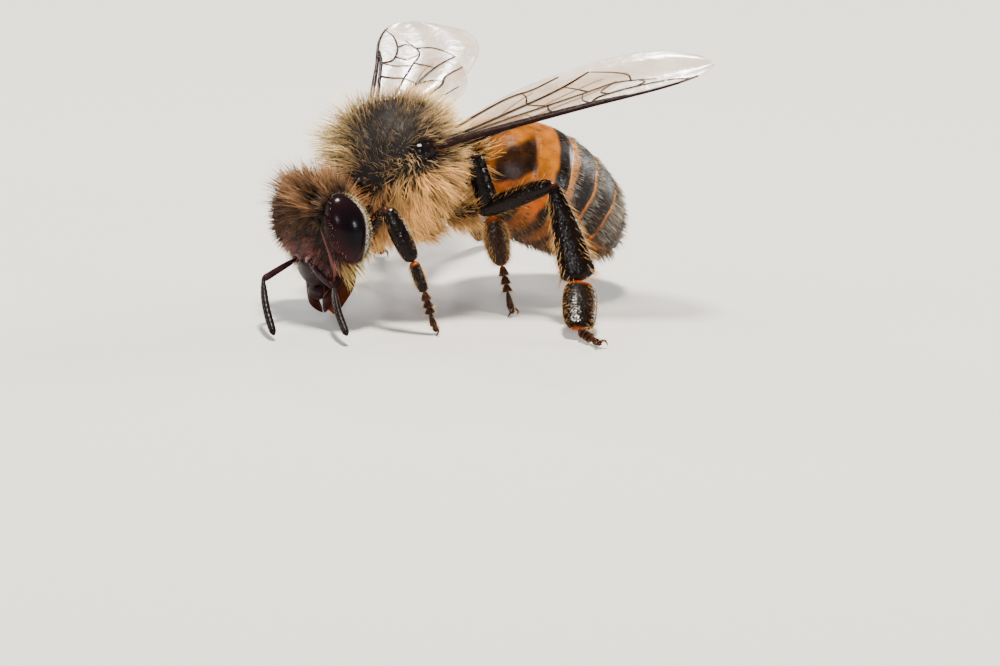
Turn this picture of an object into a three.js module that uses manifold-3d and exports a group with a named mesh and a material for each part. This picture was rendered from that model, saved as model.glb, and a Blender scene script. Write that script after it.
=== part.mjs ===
// A worker honey bee at life size, standing and feeding, head down and wings half spread.
// Millimetres, +Z up. The head points to -Y and the bee's left side is +X.
// The outlines reach to the tips of the coat; every leg stands on a small flat at the floor.
import * as THREE from 'three';
import { mergeVertices } from 'three/addons/utils/BufferGeometryUtils.js';
import Module from 'manifold-3d';

const wasm = await Module();
wasm.setup();

// Driving dimensions.
const gap = 0.05; // clear distance between touching pieces
const thoraxHeight = 4.4; // middle of the thorax above the floor
const thorax = { pitch: -8.3, length: 5.15, halfWidth: 2.48, top: 2.5, bottom: 2.38 };
const head = {
  place: [0.47, -2.62, -1.68],
  yaw: 5.5,
  pitch: -18,
  roll: 10,
  height: 3.8,
  halfWidth: 1.84,
  halfDepth: 1.16,
};
const eye = {
  out: 1.47,
  forward: 0.08,
  up: 0.16,
  halfHeight: 1.12,
  halfDepth: 0.74,
  halfWidth: 0.5,
  lean: 1,
};
const abdomen = { length: 6.4, yaw: 9, drop: 11, bend: 36, halfWidth: 2.08, halfHeight: 1.9 };
const waist = [0, -2.05, -0.3]; // on the thorax: left, forward, up
const antennaThickness = 0.46;
const wingThickness = 0.5;
const foreWing = { length: 9.15, chord: 3.15 };
const hindWing = { length: 6.4, chord: 2.0 };
const footPress = 0.5; // the foot's end stands at this much of its radius, so the floor cuts it flat
const footRadius = 0.25;

// Finishes.
const finish = (color, roughness) => new THREE.MeshStandardMaterial({ color, roughness, metalness: 0 });
const coatFinish = finish('#b98d55', 0.9);
const darkCoatFinish = finish('#5b4531', 0.85);
const amberFinish = finish('#c77a1f', 0.45);
const bandFinish = finish('#3a2a20', 0.45);
const shellFinish = finish('#1c1310', 0.25);
const mouthFinish = finish('#5a2416', 0.3);
const eyeFinish = finish('#140c0c', 0.1);
const wingFinish = finish('#a08872', 0.3);

const rad = THREE.MathUtils.degToRad;
const vec = (x, y, z) => new THREE.Vector3(x, y, z);

// A smooth curve through stations of [t, value].
function through(stations) {
  const slope = stations.map((point, i) => {
    const before = stations[Math.max(i - 1, 0)];
    const after = stations[Math.min(i + 1, stations.length - 1)];
    return (after[1] - before[1]) / (after[0] - before[0]);
  });
  return (t) => {
    const last = stations.length - 2;
    const i = Math.min(Math.max(stations.findIndex((point) => point[0] > t) - 1, 0), last);
    const k = t >= stations[last + 1][0] ? last : i;
    const [t0, v0] = stations[k];
    const [t1, v1] = stations[k + 1];
    const s = (t - t0) / (t1 - t0);
    const a = s * s * (3 - 2 * s);
    const rise = (t1 - t0) * (slope[k] * s * (1 - s) ** 2 - slope[k + 1] * s * s * (1 - s));
    return v0 + (v1 - v0) * a + rise;
  };
}

// A closed body: a first point, rings round a centre line, and a last point.
// A ring is { at, wide, tall, deep }: its middle, half its width, and its height above and below.
function loft(rings, sides, square = 2) {
  const positions = [];
  const index = [];
  const first = rings[0].at;
  const last = rings[rings.length - 1].at;
  const inner = rings.slice(1, -1);
  positions.push(...first.toArray());
  for (const { at, wide, tall, deep } of inner) {
    for (let i = 0; i < sides; i += 1) {
      const angle = (i / sides) * Math.PI * 2;
      const c = Math.sign(Math.cos(angle)) * Math.abs(Math.cos(angle)) ** (2 / square);
      const s = Math.sign(Math.sin(angle)) * Math.abs(Math.sin(angle)) ** (2 / square);
      const height = s >= 0 || !deep ? tall : deep;
      positions.push(...at.clone().addScaledVector(wide, c).addScaledVector(height, s).toArray());
    }
  }
  positions.push(...last.toArray());
  const end = positions.length / 3 - 1;
  for (let i = 0; i < sides; i += 1) {
    const j = (i + 1) % sides;
    index.push(0, 1 + j, 1 + i);
    for (let k = 0; k < inner.length - 1; k += 1) {
      const a = 1 + k * sides;
      const b = a + sides;
      index.push(a + i, a + j, b + i, a + j, b + j, b + i);
    }
    const c = end - sides;
    index.push(end, c + i, c + j);
  }
  const geometry = new THREE.BufferGeometry();
  geometry.setAttribute('position', new THREE.Float32BufferAttribute(positions, 3));
  geometry.setIndex(index);
  return geometry;
}

// Manifold solids are kept in the bee's own frame, and go back to a frame's group as meshes.
function signedVolume(vertices, triangles) {
  const corner = (i) => vec().fromArray(vertices, triangles[i] * 3);
  let sum = 0;
  for (let i = 0; i < triangles.length; i += 3) {
    sum += corner(i).dot(corner(i + 1).cross(corner(i + 2)));
  }
  return sum;
}

function solid(geometry, frame = new THREE.Object3D()) {
  frame.updateWorldMatrix(true, false);
  const bare = geometry.clone().applyMatrix4(frame.matrixWorld);
  bare.deleteAttribute('normal');
  bare.deleteAttribute('uv');
  const merged = mergeVertices(bare, 1e-5);
  const vertProperties = new Float32Array(merged.attributes.position.array);
  const triVerts = new Uint32Array(merged.index.array);
  if (signedVolume(vertProperties, triVerts) < 0) triVerts.reverse();
  return new wasm.Manifold(new wasm.Mesh({ numProp: 3, vertProperties, triVerts }));
}

function addPiece(name, group, material, body) {
  const { vertProperties, triVerts } = body.getMesh();
  const geometry = new THREE.BufferGeometry();
  geometry.setAttribute('position', new THREE.BufferAttribute(new Float32Array(vertProperties), 3));
  geometry.setIndex(new THREE.BufferAttribute(new Uint32Array(triVerts), 1));
  group.updateWorldMatrix(true, false);
  geometry.applyMatrix4(group.matrixWorld.clone().invert());
  geometry.computeVertexNormals();
  const mesh = new THREE.Mesh(geometry, material);
  mesh.name = name;
  group.add(mesh);
}

// A frame on the body. Pitch raises the front, yaw turns it to the left, roll raises the left side.
function frameAt(place, { yaw = 0, pitch = 0, roll = 0 }, parent) {
  const group = new THREE.Group();
  group.position.copy(place);
  group.rotation.set(rad(-pitch), rad(-roll), rad(yaw), 'ZXY');
  parent.add(group);
  return group;
}

// A place on a frame, given as left, forward and up.
const on = ([left, forward, up]) => vec(left, -forward, up);

// A way to go: heading is turned back from straight out to the side, drop is below level.
const toward = (side, heading, drop) => vec(
  side * Math.cos(rad(heading)) * Math.cos(rad(drop)),
  Math.sin(rad(heading)) * Math.cos(rad(drop)),
  -Math.sin(rad(drop)),
);

// One stretch of a limb. Radii are [t, radius]; flat is its thickness over its width.
function limb(from, to, radii, { flat = 1, broadside = vec(0, 0, 1), bow = 0, sides = 8, grow = 0 } = {}) {
  const along = to.clone().sub(from);
  const length = along.length();
  along.normalize();
  const wide = vec().crossVectors(broadside, along).normalize();
  const tall = vec().crossVectors(along, wide).normalize();
  const radius = through(radii);
  const rings = radii.map(([t]) => {
    const middle = from.clone().addScaledVector(along, t * length);
    middle.addScaledVector(tall, bow * Math.sin(Math.PI * t));
    return {
      at: middle,
      wide: wide.clone().multiplyScalar(radius(t) + grow),
      tall: tall.clone().multiplyScalar(radius(t) * flat + grow),
    };
  });
  const start = { at: from.clone().addScaledVector(along, -grow) };
  const end = { at: to.clone().addScaledVector(along, grow) };
  return solid(loft([start, ...rings, end], sides));
}

const bee = new THREE.Group();
const middle = frameAt(vec(0, 0, thoraxHeight), {}, bee);
const thoraxFrame = frameAt(vec(0, 0, 0), { pitch: thorax.pitch }, middle);
const headFrame = frameAt(vec(...head.place), head, middle);
thoraxFrame.updateWorldMatrix(true, false);
headFrame.updateWorldMatrix(true, false);
const onThorax = (place) => on(place).applyMatrix4(thoraxFrame.matrixWorld);
const onHead = (place) => on(place).applyMatrix4(headFrame.matrixWorld);
const bothSides = [['left', 1], ['right', -1]];

// Legs. Lengths are the coxa with its trochanter, femur, tibia, basitarsus and tarsus.
const legs = {
  fore: {
    hip: [0.62, 1.3, -1.3],
    lengths: [1.1, 2.03, 1.8, 1.0, 1.35],
    left: [[-63, 35], [11, -47], [37, 59], [51, 67], 60],
    right: [[-40, 35], [28, -41], [140, 76], [110, 72], 30],
  },
  mid: {
    hip: [0.7, 0, -1.7],
    lengths: [0.92, 2.2, 2.0, 1.57, 1.55],
    left: [[54, -14], [85, -62], [48, 71], [29, 73], 16],
    right: [[54, -15], [25, -45], [15, 56], [26, 64], 34],
  },
  hind: {
    hip: [0.8, -1.2, -1.5],
    lengths: [1.02, 2.5, 3.1, 2.08, 1.15],
    left: [[43, -1], [54, -25], [14, 64], [-31, 31], 6],
    right: [[43, -1], [42, -28], [59, 51], [60, 47], 45],
  },
};
const capsule = (r0, r1, r2) => [[0.06, r0 * 0.7], [0.2, r0], [0.5, r1], [0.8, r2], [0.94, r2 * 0.7]];
const segmentShapes = {
  coxa: { radii: capsule(0.42, 0.4, 0.32) },
  femur: { radii: capsule(0.27, 0.32, 0.26) },
  tibia: {
    fore: { radii: capsule(0.25, 0.33, 0.31), flat: 0.8 },
    mid: { radii: capsule(0.25, 0.3, 0.34), flat: 0.8 },
    hind: {
      radii: [[0.03, 0.2], [0.15, 0.28], [0.4, 0.42], [0.7, 0.55], [0.9, 0.56], [0.98, 0.4]],
      flat: 0.5,
    },
  },
  basitarsus: {
    fore: { radii: capsule(0.25, 0.26, 0.25) },
    mid: { radii: capsule(0.28, 0.42, 0.34), flat: 0.6 },
    hind: { radii: [[0.03, 0.34], [0.15, 0.5], [0.5, 0.56], [0.85, 0.5], [0.97, 0.3]], flat: 0.46 },
  },
  tarsus: { radii: [[0.05, 0.2], [0.2, footRadius], [0.6, footRadius], [0.85, footRadius], [1, 0.21]] },
};
const segmentNames = ['coxa', 'femur', 'tibia', 'basitarsus', 'tarsus'];

const aboveFloor = solid(new THREE.BoxGeometry(40, 40, 20).translate(0, 0, 10));

// Every piece: a name, its frame, its finish, and make(grow), which gives it with that much room.
const pieces = [];
const addPart = (name, frame, material, make) => pieces.push({ name, frame, material, make });

// How steeply a tarsus drops, in degrees, to stand on the floor from a joint at this height.
function footDrop(height, length) {
  const steepest = Math.asin(Math.min(height / length, 0.97));
  const foot = footPress * footRadius * Math.cos(steepest);
  return THREE.MathUtils.radToDeg(Math.asin((height - foot) / length));
}

// The joints of one leg, from the hip to the foot.
function legJoints(leg, sideName, side) {
  const joints = [onThorax([side * leg.hip[0], leg.hip[1], leg.hip[2]])];
  leg.lengths.forEach((length, i) => {
    const from = joints[i];
    const pose = leg[sideName][i];
    const way = i < 4 ? toward(side, ...pose) : toward(side, pose, footDrop(from.z, length));
    joints.push(from.clone().addScaledVector(way, length));
  });
  return joints;
}

function addLegs() {
  for (const [sideName, side] of bothSides) {
    for (const [legName, leg] of Object.entries(legs)) {
      const joints = legJoints(leg, sideName, side);
      segmentNames.forEach((segment, i) => {
        const shape = segmentShapes[segment][legName] ?? segmentShapes[segment];
        const broadside = vec(side, segment === 'femur' ? 0.4 : -0.5, 0.3);
        const make = (grow) => limb(joints[i], joints[i + 1], shape.radii, { ...shape, broadside, grow });
        const trimmed = segment === 'tarsus' ? (grow) => make(grow).intersect(aboveFloor) : make;
        addPart(`leg_${legName}_${sideName}_${segment}`, middle, shellFinish, trimmed);
      });
    }
  }
}

// The head: rings from the mouth to the crown, with the face in front.
const headShape = {
  halfWidth: through([
    [0.04, 0.28], [0.15, 0.52], [0.35, 0.78], [0.6, 0.98], [0.75, 1], [0.9, 0.73], [0.98, 0.34],
  ]),
  front: through([
    [0.04, 0.62], [0.15, 1.0], [0.26, 1.1], [0.4, 1.04], [0.65, 0.97], [0.85, 0.82], [0.98, 0.4],
  ]),
  back: through([[0.04, 0.18], [0.2, 0.45], [0.5, 0.76], [0.8, 0.85], [0.98, 0.4]]),
};

function headBody(grow) {
  const heights = [0.04, 0.1, 0.2, 0.32, 0.44, 0.56, 0.68, 0.8, 0.9, 0.97];
  const level = (t) => (t - 0.47) * head.height;
  const rings = heights.map((t) => ({
    at: vec(0, 0, level(t)),
    wide: vec(head.halfWidth * headShape.halfWidth(t) + grow, 0, 0),
    tall: vec(0, -head.halfDepth * headShape.front(t) - grow, 0),
    deep: vec(0, -head.halfDepth * headShape.back(t) - grow, 0),
  }));
  const ends = [{ at: vec(0, -0.2, level(0) - grow) }, { at: vec(0, 0, level(1) + grow) }];
  return solid(loft([ends[0], ...rings, ends[1]], 16, 2.15), headFrame);
}

function eyeBody(side, grow) {
  const rows = [0.05, 0.15, 0.3, 0.45, 0.6, 0.75, 0.88, 0.96];
  const half = (t) => Math.sqrt(1 - (2 * t - 1) ** 2);
  const span = eye.halfHeight + grow;
  const lean = Math.tan(rad(eye.lean));
  const place = (t) => {
    const up = (2 * t - 1) * span;
    return vec(side * (eye.out - 0.12 * Math.abs(2 * t - 1) ** 2), -eye.forward + up * lean, eye.up + up);
  };
  const rings = rows.map((t) => ({
    at: place(t),
    wide: vec(0, (eye.halfDepth + grow) * half(t) * (1.06 - 0.12 * (1 - t)), 0),
    tall: vec(side * (eye.halfWidth + grow) * half(t), 0, 0),
  }));
  return solid(loft([{ at: place(0) }, ...rings, { at: place(1) }], 12), headFrame);
}

// The thorax: rings from the neck to the waist; its outline is the coat's.
const thoraxShape = {
  halfWidth: through([
    [0.04, 0.42], [0.15, 0.72], [0.35, 0.95], [0.5, 1], [0.7, 0.93], [0.87, 0.68], [0.97, 0.33],
  ]),
  top: through([
    [0.04, 0.3], [0.15, 0.64], [0.35, 0.94], [0.5, 1], [0.7, 0.93], [0.87, 0.62], [0.97, 0.28],
  ]),
  bottom: through([
    [0.04, 0.42], [0.15, 0.72], [0.35, 0.95], [0.55, 1], [0.75, 0.88], [0.9, 0.6], [0.97, 0.35],
  ]),
};

function thoraxBody() {
  const stations = [0.02, 0.07, 0.15, 0.25, 0.37, 0.5, 0.63, 0.75, 0.85, 0.93, 0.98];
  const along = (t) => vec(0, (t - 0.5) * thorax.length, 0);
  const rings = stations.map((t) => ({
    at: along(t),
    wide: vec(thorax.halfWidth * thoraxShape.halfWidth(t), 0, 0),
    tall: vec(0, 0, thorax.top * thoraxShape.top(t)),
    deep: vec(0, 0, thorax.bottom * thoraxShape.bottom(t)),
  }));
  return solid(loft([{ at: along(0) }, ...rings, { at: along(1) }], 20, 2.1), thoraxFrame);
}

// The abdomen follows an arc that starts level and curves down; six ring-shaped segments.
const segmentEnds = [0, 0.09, 0.3, 0.465, 0.602, 0.745, 1];
const abdomenWidth = through([
  [0, 0.24], [0.06, 0.5], [0.16, 0.82], [0.3, 0.97], [0.45, 1], [0.6, 0.95], [0.75, 0.82], [0.9, 0.52],
  [1, 0.12],
]);

function abdomenLine(t) {
  const steps = 24;
  const place = onThorax(waist);
  for (let i = 0; i < steps; i += 1) {
    const s = ((i + 0.5) / steps) * t;
    const way = toward(1, 90 - abdomen.yaw, abdomen.drop + abdomen.bend * s);
    place.addScaledVector(way, (abdomen.length * t) / steps);
  }
  return place;
}

function abdomenSegment(k, grow) {
  const margin = gap / 2 / abdomen.length;
  const from = segmentEnds[k] + margin;
  const to = segmentEnds[k + 1] - (k < 5 ? margin : 0);
  const ringAt = (t) => {
    const way = toward(1, 90 - abdomen.yaw, abdomen.drop + abdomen.bend * t);
    const wide = vec(1, 0, 0).addScaledVector(way, -way.x).normalize();
    const tall = vec().crossVectors(wide, way).normalize();
    const lap = 1 + 0.025 * ((t - from) / (to - from));
    const size = abdomenWidth(t) * lap;
    return {
      at: abdomenLine(t),
      wide: wide.multiplyScalar(abdomen.halfWidth * size + grow),
      tall: tall.clone().multiplyScalar(abdomen.halfHeight * size + grow),
      deep: tall.clone().multiplyScalar(abdomen.halfHeight * size * 0.94 + grow),
    };
  };
  const rows = k === 5 ? [0, 0.4, 0.7, 0.9, 1] : [0, 0.5, 1];
  const rings = rows.map((s) => ringAt(from + (to - from) * s));
  const way = toward(1, 90 - abdomen.yaw, abdomen.drop);
  const start = abdomenLine(from).addScaledVector(way, -grow);
  return solid(loft([{ at: start }, ...rings, { at: abdomenLine(to) }], 16));
}

// A wing: a thin plate whose front and rear edges bow out towards the tip.
const wingPoses = {
  left: { fore: { sweep: 67, raise: 16.5, tilt: 8.5 }, hind: { sweep: 79, raise: 19, tilt: 8 } },
  right: { fore: { sweep: 32.5, raise: 7.5, tilt: 6 }, hind: { sweep: 37, raise: 7.5, tilt: 6 } },
};
const foreShape = {
  halfChord: through([
    [0, 0.16], [0.15, 0.5], [0.35, 0.85], [0.6, 1.02], [0.75, 1.01], [0.88, 0.84], [0.96, 0.5], [1, 0.12],
  ]),
  frontEdge: through([[0, 0.12], [0.2, 0.14], [0.5, 0.12], [0.8, 0.12], [0.94, 0], [1, -0.32]]),
};
const hindShape = {
  halfChord: through([[0, 0.2], [0.15, 0.6], [0.4, 0.95], [0.6, 1], [0.8, 0.82], [0.94, 0.5], [1, 0.12]]),
  frontEdge: through([[0, 0.15], [0.3, 0.2], [0.7, 0.15], [0.95, -0.2], [1, -0.5]]),
};
const wingHinge = { fore: [1.66, -0.3, 0.9], hind: [1.6, -1.0, 0.6] };

function wingBody(size, shape, hinge, side, { sweep, raise, tilt }, grow) {
  const out = toward(side, sweep, -raise);
  const flatRear = vec(-side * Math.sin(rad(sweep)), Math.cos(rad(sweep)), 0);
  const level = vec().crossVectors(out, flatRear).normalize();
  if (level.z < 0) level.negate();
  const rear = flatRear.multiplyScalar(Math.cos(rad(tilt))).addScaledVector(level, Math.sin(rad(tilt)));
  const up = level.addScaledVector(rear, -level.dot(rear)).normalize();
  const root = onThorax([side * hinge[0], hinge[1], hinge[2]]);
  const half = size.chord / 2;
  const place = (t) => {
    const front = shape.frontEdge(t) * half;
    return root.clone().addScaledVector(out, t * size.length)
      .addScaledVector(rear, shape.halfChord(t) * half - front);
  };
  const rows = [0.05, 0.18, 0.32, 0.47, 0.62, 0.76, 0.87, 0.94, 0.985];
  const rings = rows.map((t) => ({
    at: place(t),
    wide: rear.clone().multiplyScalar(shape.halfChord(t) * half + grow),
    tall: up.clone().multiplyScalar(wingThickness / 2 + grow),
  }));
  return solid(loft([{ at: place(0.03) }, ...rings, { at: place(1) }], 10, 3));
}

// The mouthparts, feelers and wing caps.
const antennaPoses = {
  left: { base: [0.33, 1.06, -0.51], elbow: [1.4, 1.14, -1.29], tip: [2.8, 2.0, -2.36] },
  right: { base: [-0.33, 1.06, -0.51], elbow: [0.0, 2.6, -0.5], tip: [1.4, 3.6, -1.75] },
};
const mandibleEnds = { root: [0.72, 0.6, -1.35], tip: [0.12, 0.95, -2.25] };
const proboscisEnds = { root: [0, 0.1, -1.5], tip: [0, 0.65, -2.5] };
const tegulaEnds = { front: [1.62, 0.22, 0.92], rear: [1.82, -0.42, 0.9] };
const hingeRoom = { from: [1.3, -0.1, 0.6], to: [2.7, -0.15, 1.6] }; // no long hair round the hinge
const even = (radius) => [
  [0.04, radius * 0.75], [0.12, radius], [0.5, radius], [0.88, radius], [0.97, radius * 0.7],
];
const mirrored = ([left, forward, up], side) => [side * left, forward, up];

function addHeadParts() {
  const feeler = even(antennaThickness / 2);
  for (const [sideName, side] of bothSides) {
    const root = onHead(mirrored(mandibleEnds.root, side));
    const tip = onHead(mirrored(mandibleEnds.tip, side));
    const jaw = capsule(0.3, 0.3, 0.22);
    addPart(`mandible_${sideName}`, headFrame, shellFinish, (grow) => limb(root, tip, jaw, { grow }));
    addPart(`eye_${sideName}`, headFrame, eyeFinish, (grow) => eyeBody(side, grow));
  }
  const [mouth, tongue] = [onHead(proboscisEnds.root), onHead(proboscisEnds.tip)];
  const sheath = capsule(0.42, 0.34, 0.24);
  addPart('proboscis', headFrame, mouthFinish, (grow) => limb(mouth, tongue, sheath, { grow }));
  for (const [sideName] of bothSides) {
    const [base, elbow, end] = Object.values(antennaPoses[sideName]).map(onHead);
    const scape = (grow) => limb(base, elbow, feeler, { grow });
    const flagellum = (grow) => limb(elbow, end, feeler, { grow, bow: 0.08 }).intersect(aboveFloor);
    addPart(`antenna_${sideName}_scape`, headFrame, shellFinish, scape);
    addPart(`antenna_${sideName}_flagellum`, headFrame, shellFinish, flagellum);
  }
}

function addWings() {
  for (const [sideName, side] of bothSides) {
    const [front, rear] = Object.values(tegulaEnds).map((place) => onThorax(mirrored(place, side)));
    const cap = [[0.05, 0.22], [0.3, 0.36], [0.7, 0.36], [0.95, 0.22]];
    addPart(`tegula_${sideName}`, thoraxFrame, shellFinish, (grow) => limb(front, rear, cap, { grow }));
    const pose = wingPoses[sideName];
    addPart(`forewing_${sideName}`, thoraxFrame, wingFinish, (grow) => (
      wingBody(foreWing, foreShape, wingHinge.fore, side, pose.fore, grow)
    ));
    addPart(`hindwing_${sideName}`, thoraxFrame, wingFinish, (grow) => (
      wingBody(hindWing, hindShape, wingHinge.hind, side, pose.hind, grow)
    ));
  }
}

function bareThorax() {
  const hingeRooms = bothSides.map(([, side]) => {
    const [from, to] = Object.values(hingeRoom).map((place) => onThorax(mirrored(place, side)));
    return limb(from, to, [[0.05, 0.4], [0.4, 0.62], [0.95, 1.1]], { sides: 10 });
  });
  return hingeRooms.reduce((rest, room) => rest.subtract(room), thoraxBody());
}

addHeadParts();
addWings();
addLegs();
addPart('head', headFrame, darkCoatFinish, headBody);
for (let k = 0; k < 6; k += 1) {
  const material = k < 2 ? amberFinish : bandFinish;
  addPart(`abdomen_${k + 1}`, middle, material, (grow) => abdomenSegment(k, grow));
}
addPart('thorax', thoraxFrame, coatFinish, bareThorax);

// Where two pieces meet, the later one is cut back to leave the gap.
const apart = (a, b) => [0, 1, 2].some((axis) => a.min[axis] > b.max[axis] || b.min[axis] > a.max[axis]);
const placed = [];
for (const { name, frame, material, make } of pieces) {
  let body = make(0);
  const box = body.boundingBox();
  for (const other of placed) {
    if (!apart(box, other.box)) body = body.subtract(other.room);
  }
  const whole = body.decompose().sort((a, b) => b.volume() - a.volume())[0];
  const room = name === 'thorax' ? whole : make(gap);
  placed.push({ room, box: room.boundingBox() });
  addPiece(name, frame, material, whole);
}

// The origin is under the middle of the whole bee.
const box = new THREE.Box3().setFromObject(bee, true);
bee.position.set(-(box.min.x + box.max.x) / 2, -(box.min.y + box.max.y) / 2, -box.min.z);

export default bee;
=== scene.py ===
import math

import bpy
import numpy as np
from mathutils import Matrix, Vector


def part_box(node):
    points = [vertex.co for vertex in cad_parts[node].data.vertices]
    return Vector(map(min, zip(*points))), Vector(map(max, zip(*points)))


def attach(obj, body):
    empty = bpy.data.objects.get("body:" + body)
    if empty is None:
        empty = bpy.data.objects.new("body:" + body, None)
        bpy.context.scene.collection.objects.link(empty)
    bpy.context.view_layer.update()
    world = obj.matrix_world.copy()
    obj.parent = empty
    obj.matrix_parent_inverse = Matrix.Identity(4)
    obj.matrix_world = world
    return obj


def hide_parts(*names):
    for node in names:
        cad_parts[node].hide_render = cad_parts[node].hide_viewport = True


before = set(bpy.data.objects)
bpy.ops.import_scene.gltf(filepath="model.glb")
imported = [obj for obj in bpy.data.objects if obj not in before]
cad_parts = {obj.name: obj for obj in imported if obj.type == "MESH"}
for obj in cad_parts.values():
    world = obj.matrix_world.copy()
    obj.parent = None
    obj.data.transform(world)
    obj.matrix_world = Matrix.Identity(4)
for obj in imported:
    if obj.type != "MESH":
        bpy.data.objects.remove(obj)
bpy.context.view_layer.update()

# A worker honey bee. Everything is worked out in millimetres and made in metres.
# +X is the bee's left, -Y is where its head points, +Z is up.
millimetre = 0.001
bothSides = {"left": 1, "right": -1}


def linear(hexColour):
    channels = [int(hexColour[i:i + 2], 16) / 255 for i in (1, 3, 5)]
    return np.array([c / 12.92 if c <= 0.04045 else ((c + 0.055) / 1.055) ** 2.4 for c in channels])


def palette(**colours):
    return {name: linear(value) for name, value in colours.items()}


def through(*stations):
    # a smooth curve through stations of (t, value)
    ts, values = np.array(stations, float).T
    before = np.maximum(np.arange(len(ts)) - 1, 0)
    after = np.minimum(np.arange(len(ts)) + 1, len(ts) - 1)
    slope = (values[after] - values[before]) / (ts[after] - ts[before])

    def value(t):
        t = np.clip(np.asarray(t, float), ts[0], ts[-1])
        k = np.clip(np.searchsorted(ts, t, side="right") - 1, 0, len(ts) - 2)
        span = ts[k + 1] - ts[k]
        s = (t - ts[k]) / span
        rise = span * (slope[k] * s * (1 - s) ** 2 - slope[k + 1] * s * s * (1 - s))
        return values[k] + (values[k + 1] - values[k]) * s * s * (3 - 2 * s) + rise

    return value


def evenCurve(stations, u):
    # a smooth curve through places that share the way evenly
    share = np.linspace(0, 1, len(stations))
    return np.stack([through(*zip(share, values))(u) for values in zip(*stations)], -1)


def step(low, high, x):
    s = np.clip((np.asarray(x, float) - low) / (high - low), 0, 1)
    return s * s * (3 - 2 * s)


def bump(x, middle, width):
    return np.exp(-(((np.asarray(x, float) - middle) / width) ** 2))


def unit(v):
    v = np.asarray(v, float)
    return v / np.maximum(np.linalg.norm(v, axis=-1, keepdims=True), 1e-9)


def scaled(way, weight):
    return way * np.asarray(weight, float)[..., None]


def mix(a, b, weight):
    weight = np.asarray(weight, float)[..., None]
    return a * (1 - weight) + b * weight


def paint(points, tones, first, *coats):
    # the first tone all over, then each next one by its weight
    colour = tones[first] * np.ones_like(points)
    for name, weight in coats:
        colour = mix(colour, tones[name], weight)
    return colour


def opaque(colour):
    return np.concatenate([colour, np.ones((*colour.shape[:-1], 1))], -1)


def plainTint(points, colour):
    return opaque(np.ones((len(points), 3)) * linear(colour))


def mirrored(side, spot):
    return side * spot[0], spot[1], spot[2]


class Place:
    # a frame on the bee; pitch raises the front, yaw turns it to the left, roll raises the left side
    def __init__(self, centre, yaw=0, pitch=0, roll=0):
        turns = [Matrix.Rotation(math.radians(angle), 3, axis)
                 for angle, axis in ((yaw, "Z"), (-pitch, "X"), (-roll, "Y"))]
        self.centre = np.array(centre, float)
        self.turn = np.array(turns[0] @ turns[1] @ turns[2])

    def at(self, left, forward, up):
        return self.centre + self.way(left, forward, up)

    def way(self, left, forward, up):
        back = -np.asarray(forward, float)
        return np.stack(np.broadcast_arrays(left, back, up), -1) @ self.turn.T

    def apart(self, points):
        # how far left, forward and up of the middle points are
        return np.moveaxis(((points - self.centre) @ self.turn) * (1, -1, 1), -1, 0)


def toward(side, heading, drop):
    # heading is turned back from straight out to the side, drop is below level, in degrees
    heading, drop = np.radians(heading), np.radians(drop)
    return np.stack(np.broadcast_arrays(
        side * np.cos(heading) * np.cos(drop), np.sin(heading) * np.cos(drop), -np.sin(drop)), -1)


wingCap = {"forward": -0.1, "up": 0.91}  # the middle of a wing cap on the thorax
thoraxPitch = -8.3


def thoraxMiddle():
    # the thorax is placed by the boxes of its wing caps
    corners = [np.array(corner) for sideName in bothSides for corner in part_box("tegula_" + sideName)]
    offset = Place((0, 0, 0), pitch=thoraxPitch).way(0, wingCap["forward"], wingCap["up"])
    return sum(corners) / 4 / millimetre - offset


thoraxPlace = Place(thoraxMiddle(), pitch=thoraxPitch)
headPlace = Place(thoraxPlace.centre + (0.47, -2.62, -1.68), yaw=5.5, pitch=-18, roll=10)

# Each leg: its hip, its lengths, then (heading, drop) of the coxa, femur, tibia and basitarsus,
# and the heading of the tarsus, which drops until its foot stands on the floor.
legPose = {
    "fore": {
        "hip": (0.62, 1.3, -1.3), "lengths": (1.1, 2.03, 1.8, 1.0, 1.35),
        "left": ((-63, 35), (11, -47), (37, 59), (51, 67), 60),
        "right": ((-40, 35), (28, -41), (140, 76), (110, 72), 30)},
    "mid": {
        "hip": (0.7, 0, -1.7), "lengths": (0.92, 2.2, 2.0, 1.57, 1.55),
        "left": ((54, -14), (85, -62), (48, 71), (29, 73), 16),
        "right": ((54, -15), (25, -45), (15, 56), (26, 64), 34)},
    "hind": {
        "hip": (0.8, -1.2, -1.5), "lengths": (1.02, 2.5, 3.1, 2.08, 1.15),
        "left": ((43, -1), (54, -25), (14, 64), (-31, 31), 6),
        "right": ((43, -1), (42, -28), (59, 51), (60, 47), 45)},
}
footSole = 0.125  # how far the middle of a foot's end is above the floor when it lies flat


def footDrop(height, length):
    steepest = math.asin(min(height / length, 0.97))
    return math.degrees(math.asin((height - footSole * math.cos(steepest)) / length))


def legJoints(legName, sideName):
    pose, side = legPose[legName], bothSides[sideName]
    joints = [thoraxPlace.at(*mirrored(side, pose["hip"]))]
    for length, angles in zip(pose["lengths"], pose[sideName]):
        start = joints[-1]
        angles = angles if isinstance(angles, tuple) else (angles, footDrop(start[2], length))
        joints.append(start + toward(side, *angles) * length)
    return joints


attributeKinds = {1: ("FLOAT", "value"), 3: ("FLOAT_VECTOR", "vector"), 4: ("FLOAT_COLOR", "color")}


def addMesh(name, points, faces, material, attributes):
    # points in millimetres; attributes are one value, vector or colour for each point
    mesh = bpy.data.meshes.new(name)
    mesh.from_pydata((np.asarray(points) * millimetre).tolist(), [], faces)
    for key, values in attributes.items():
        values = np.asarray(values, np.float32)
        kind, field = attributeKinds[1 if values.ndim == 1 else values.shape[1]]
        mesh.attributes.new(key, kind, "POINT").data.foreach_set(field, values.ravel())
    if material:
        mesh.materials.append(material)
    mesh.shade_smooth()
    return addObject(name, mesh)


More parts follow.
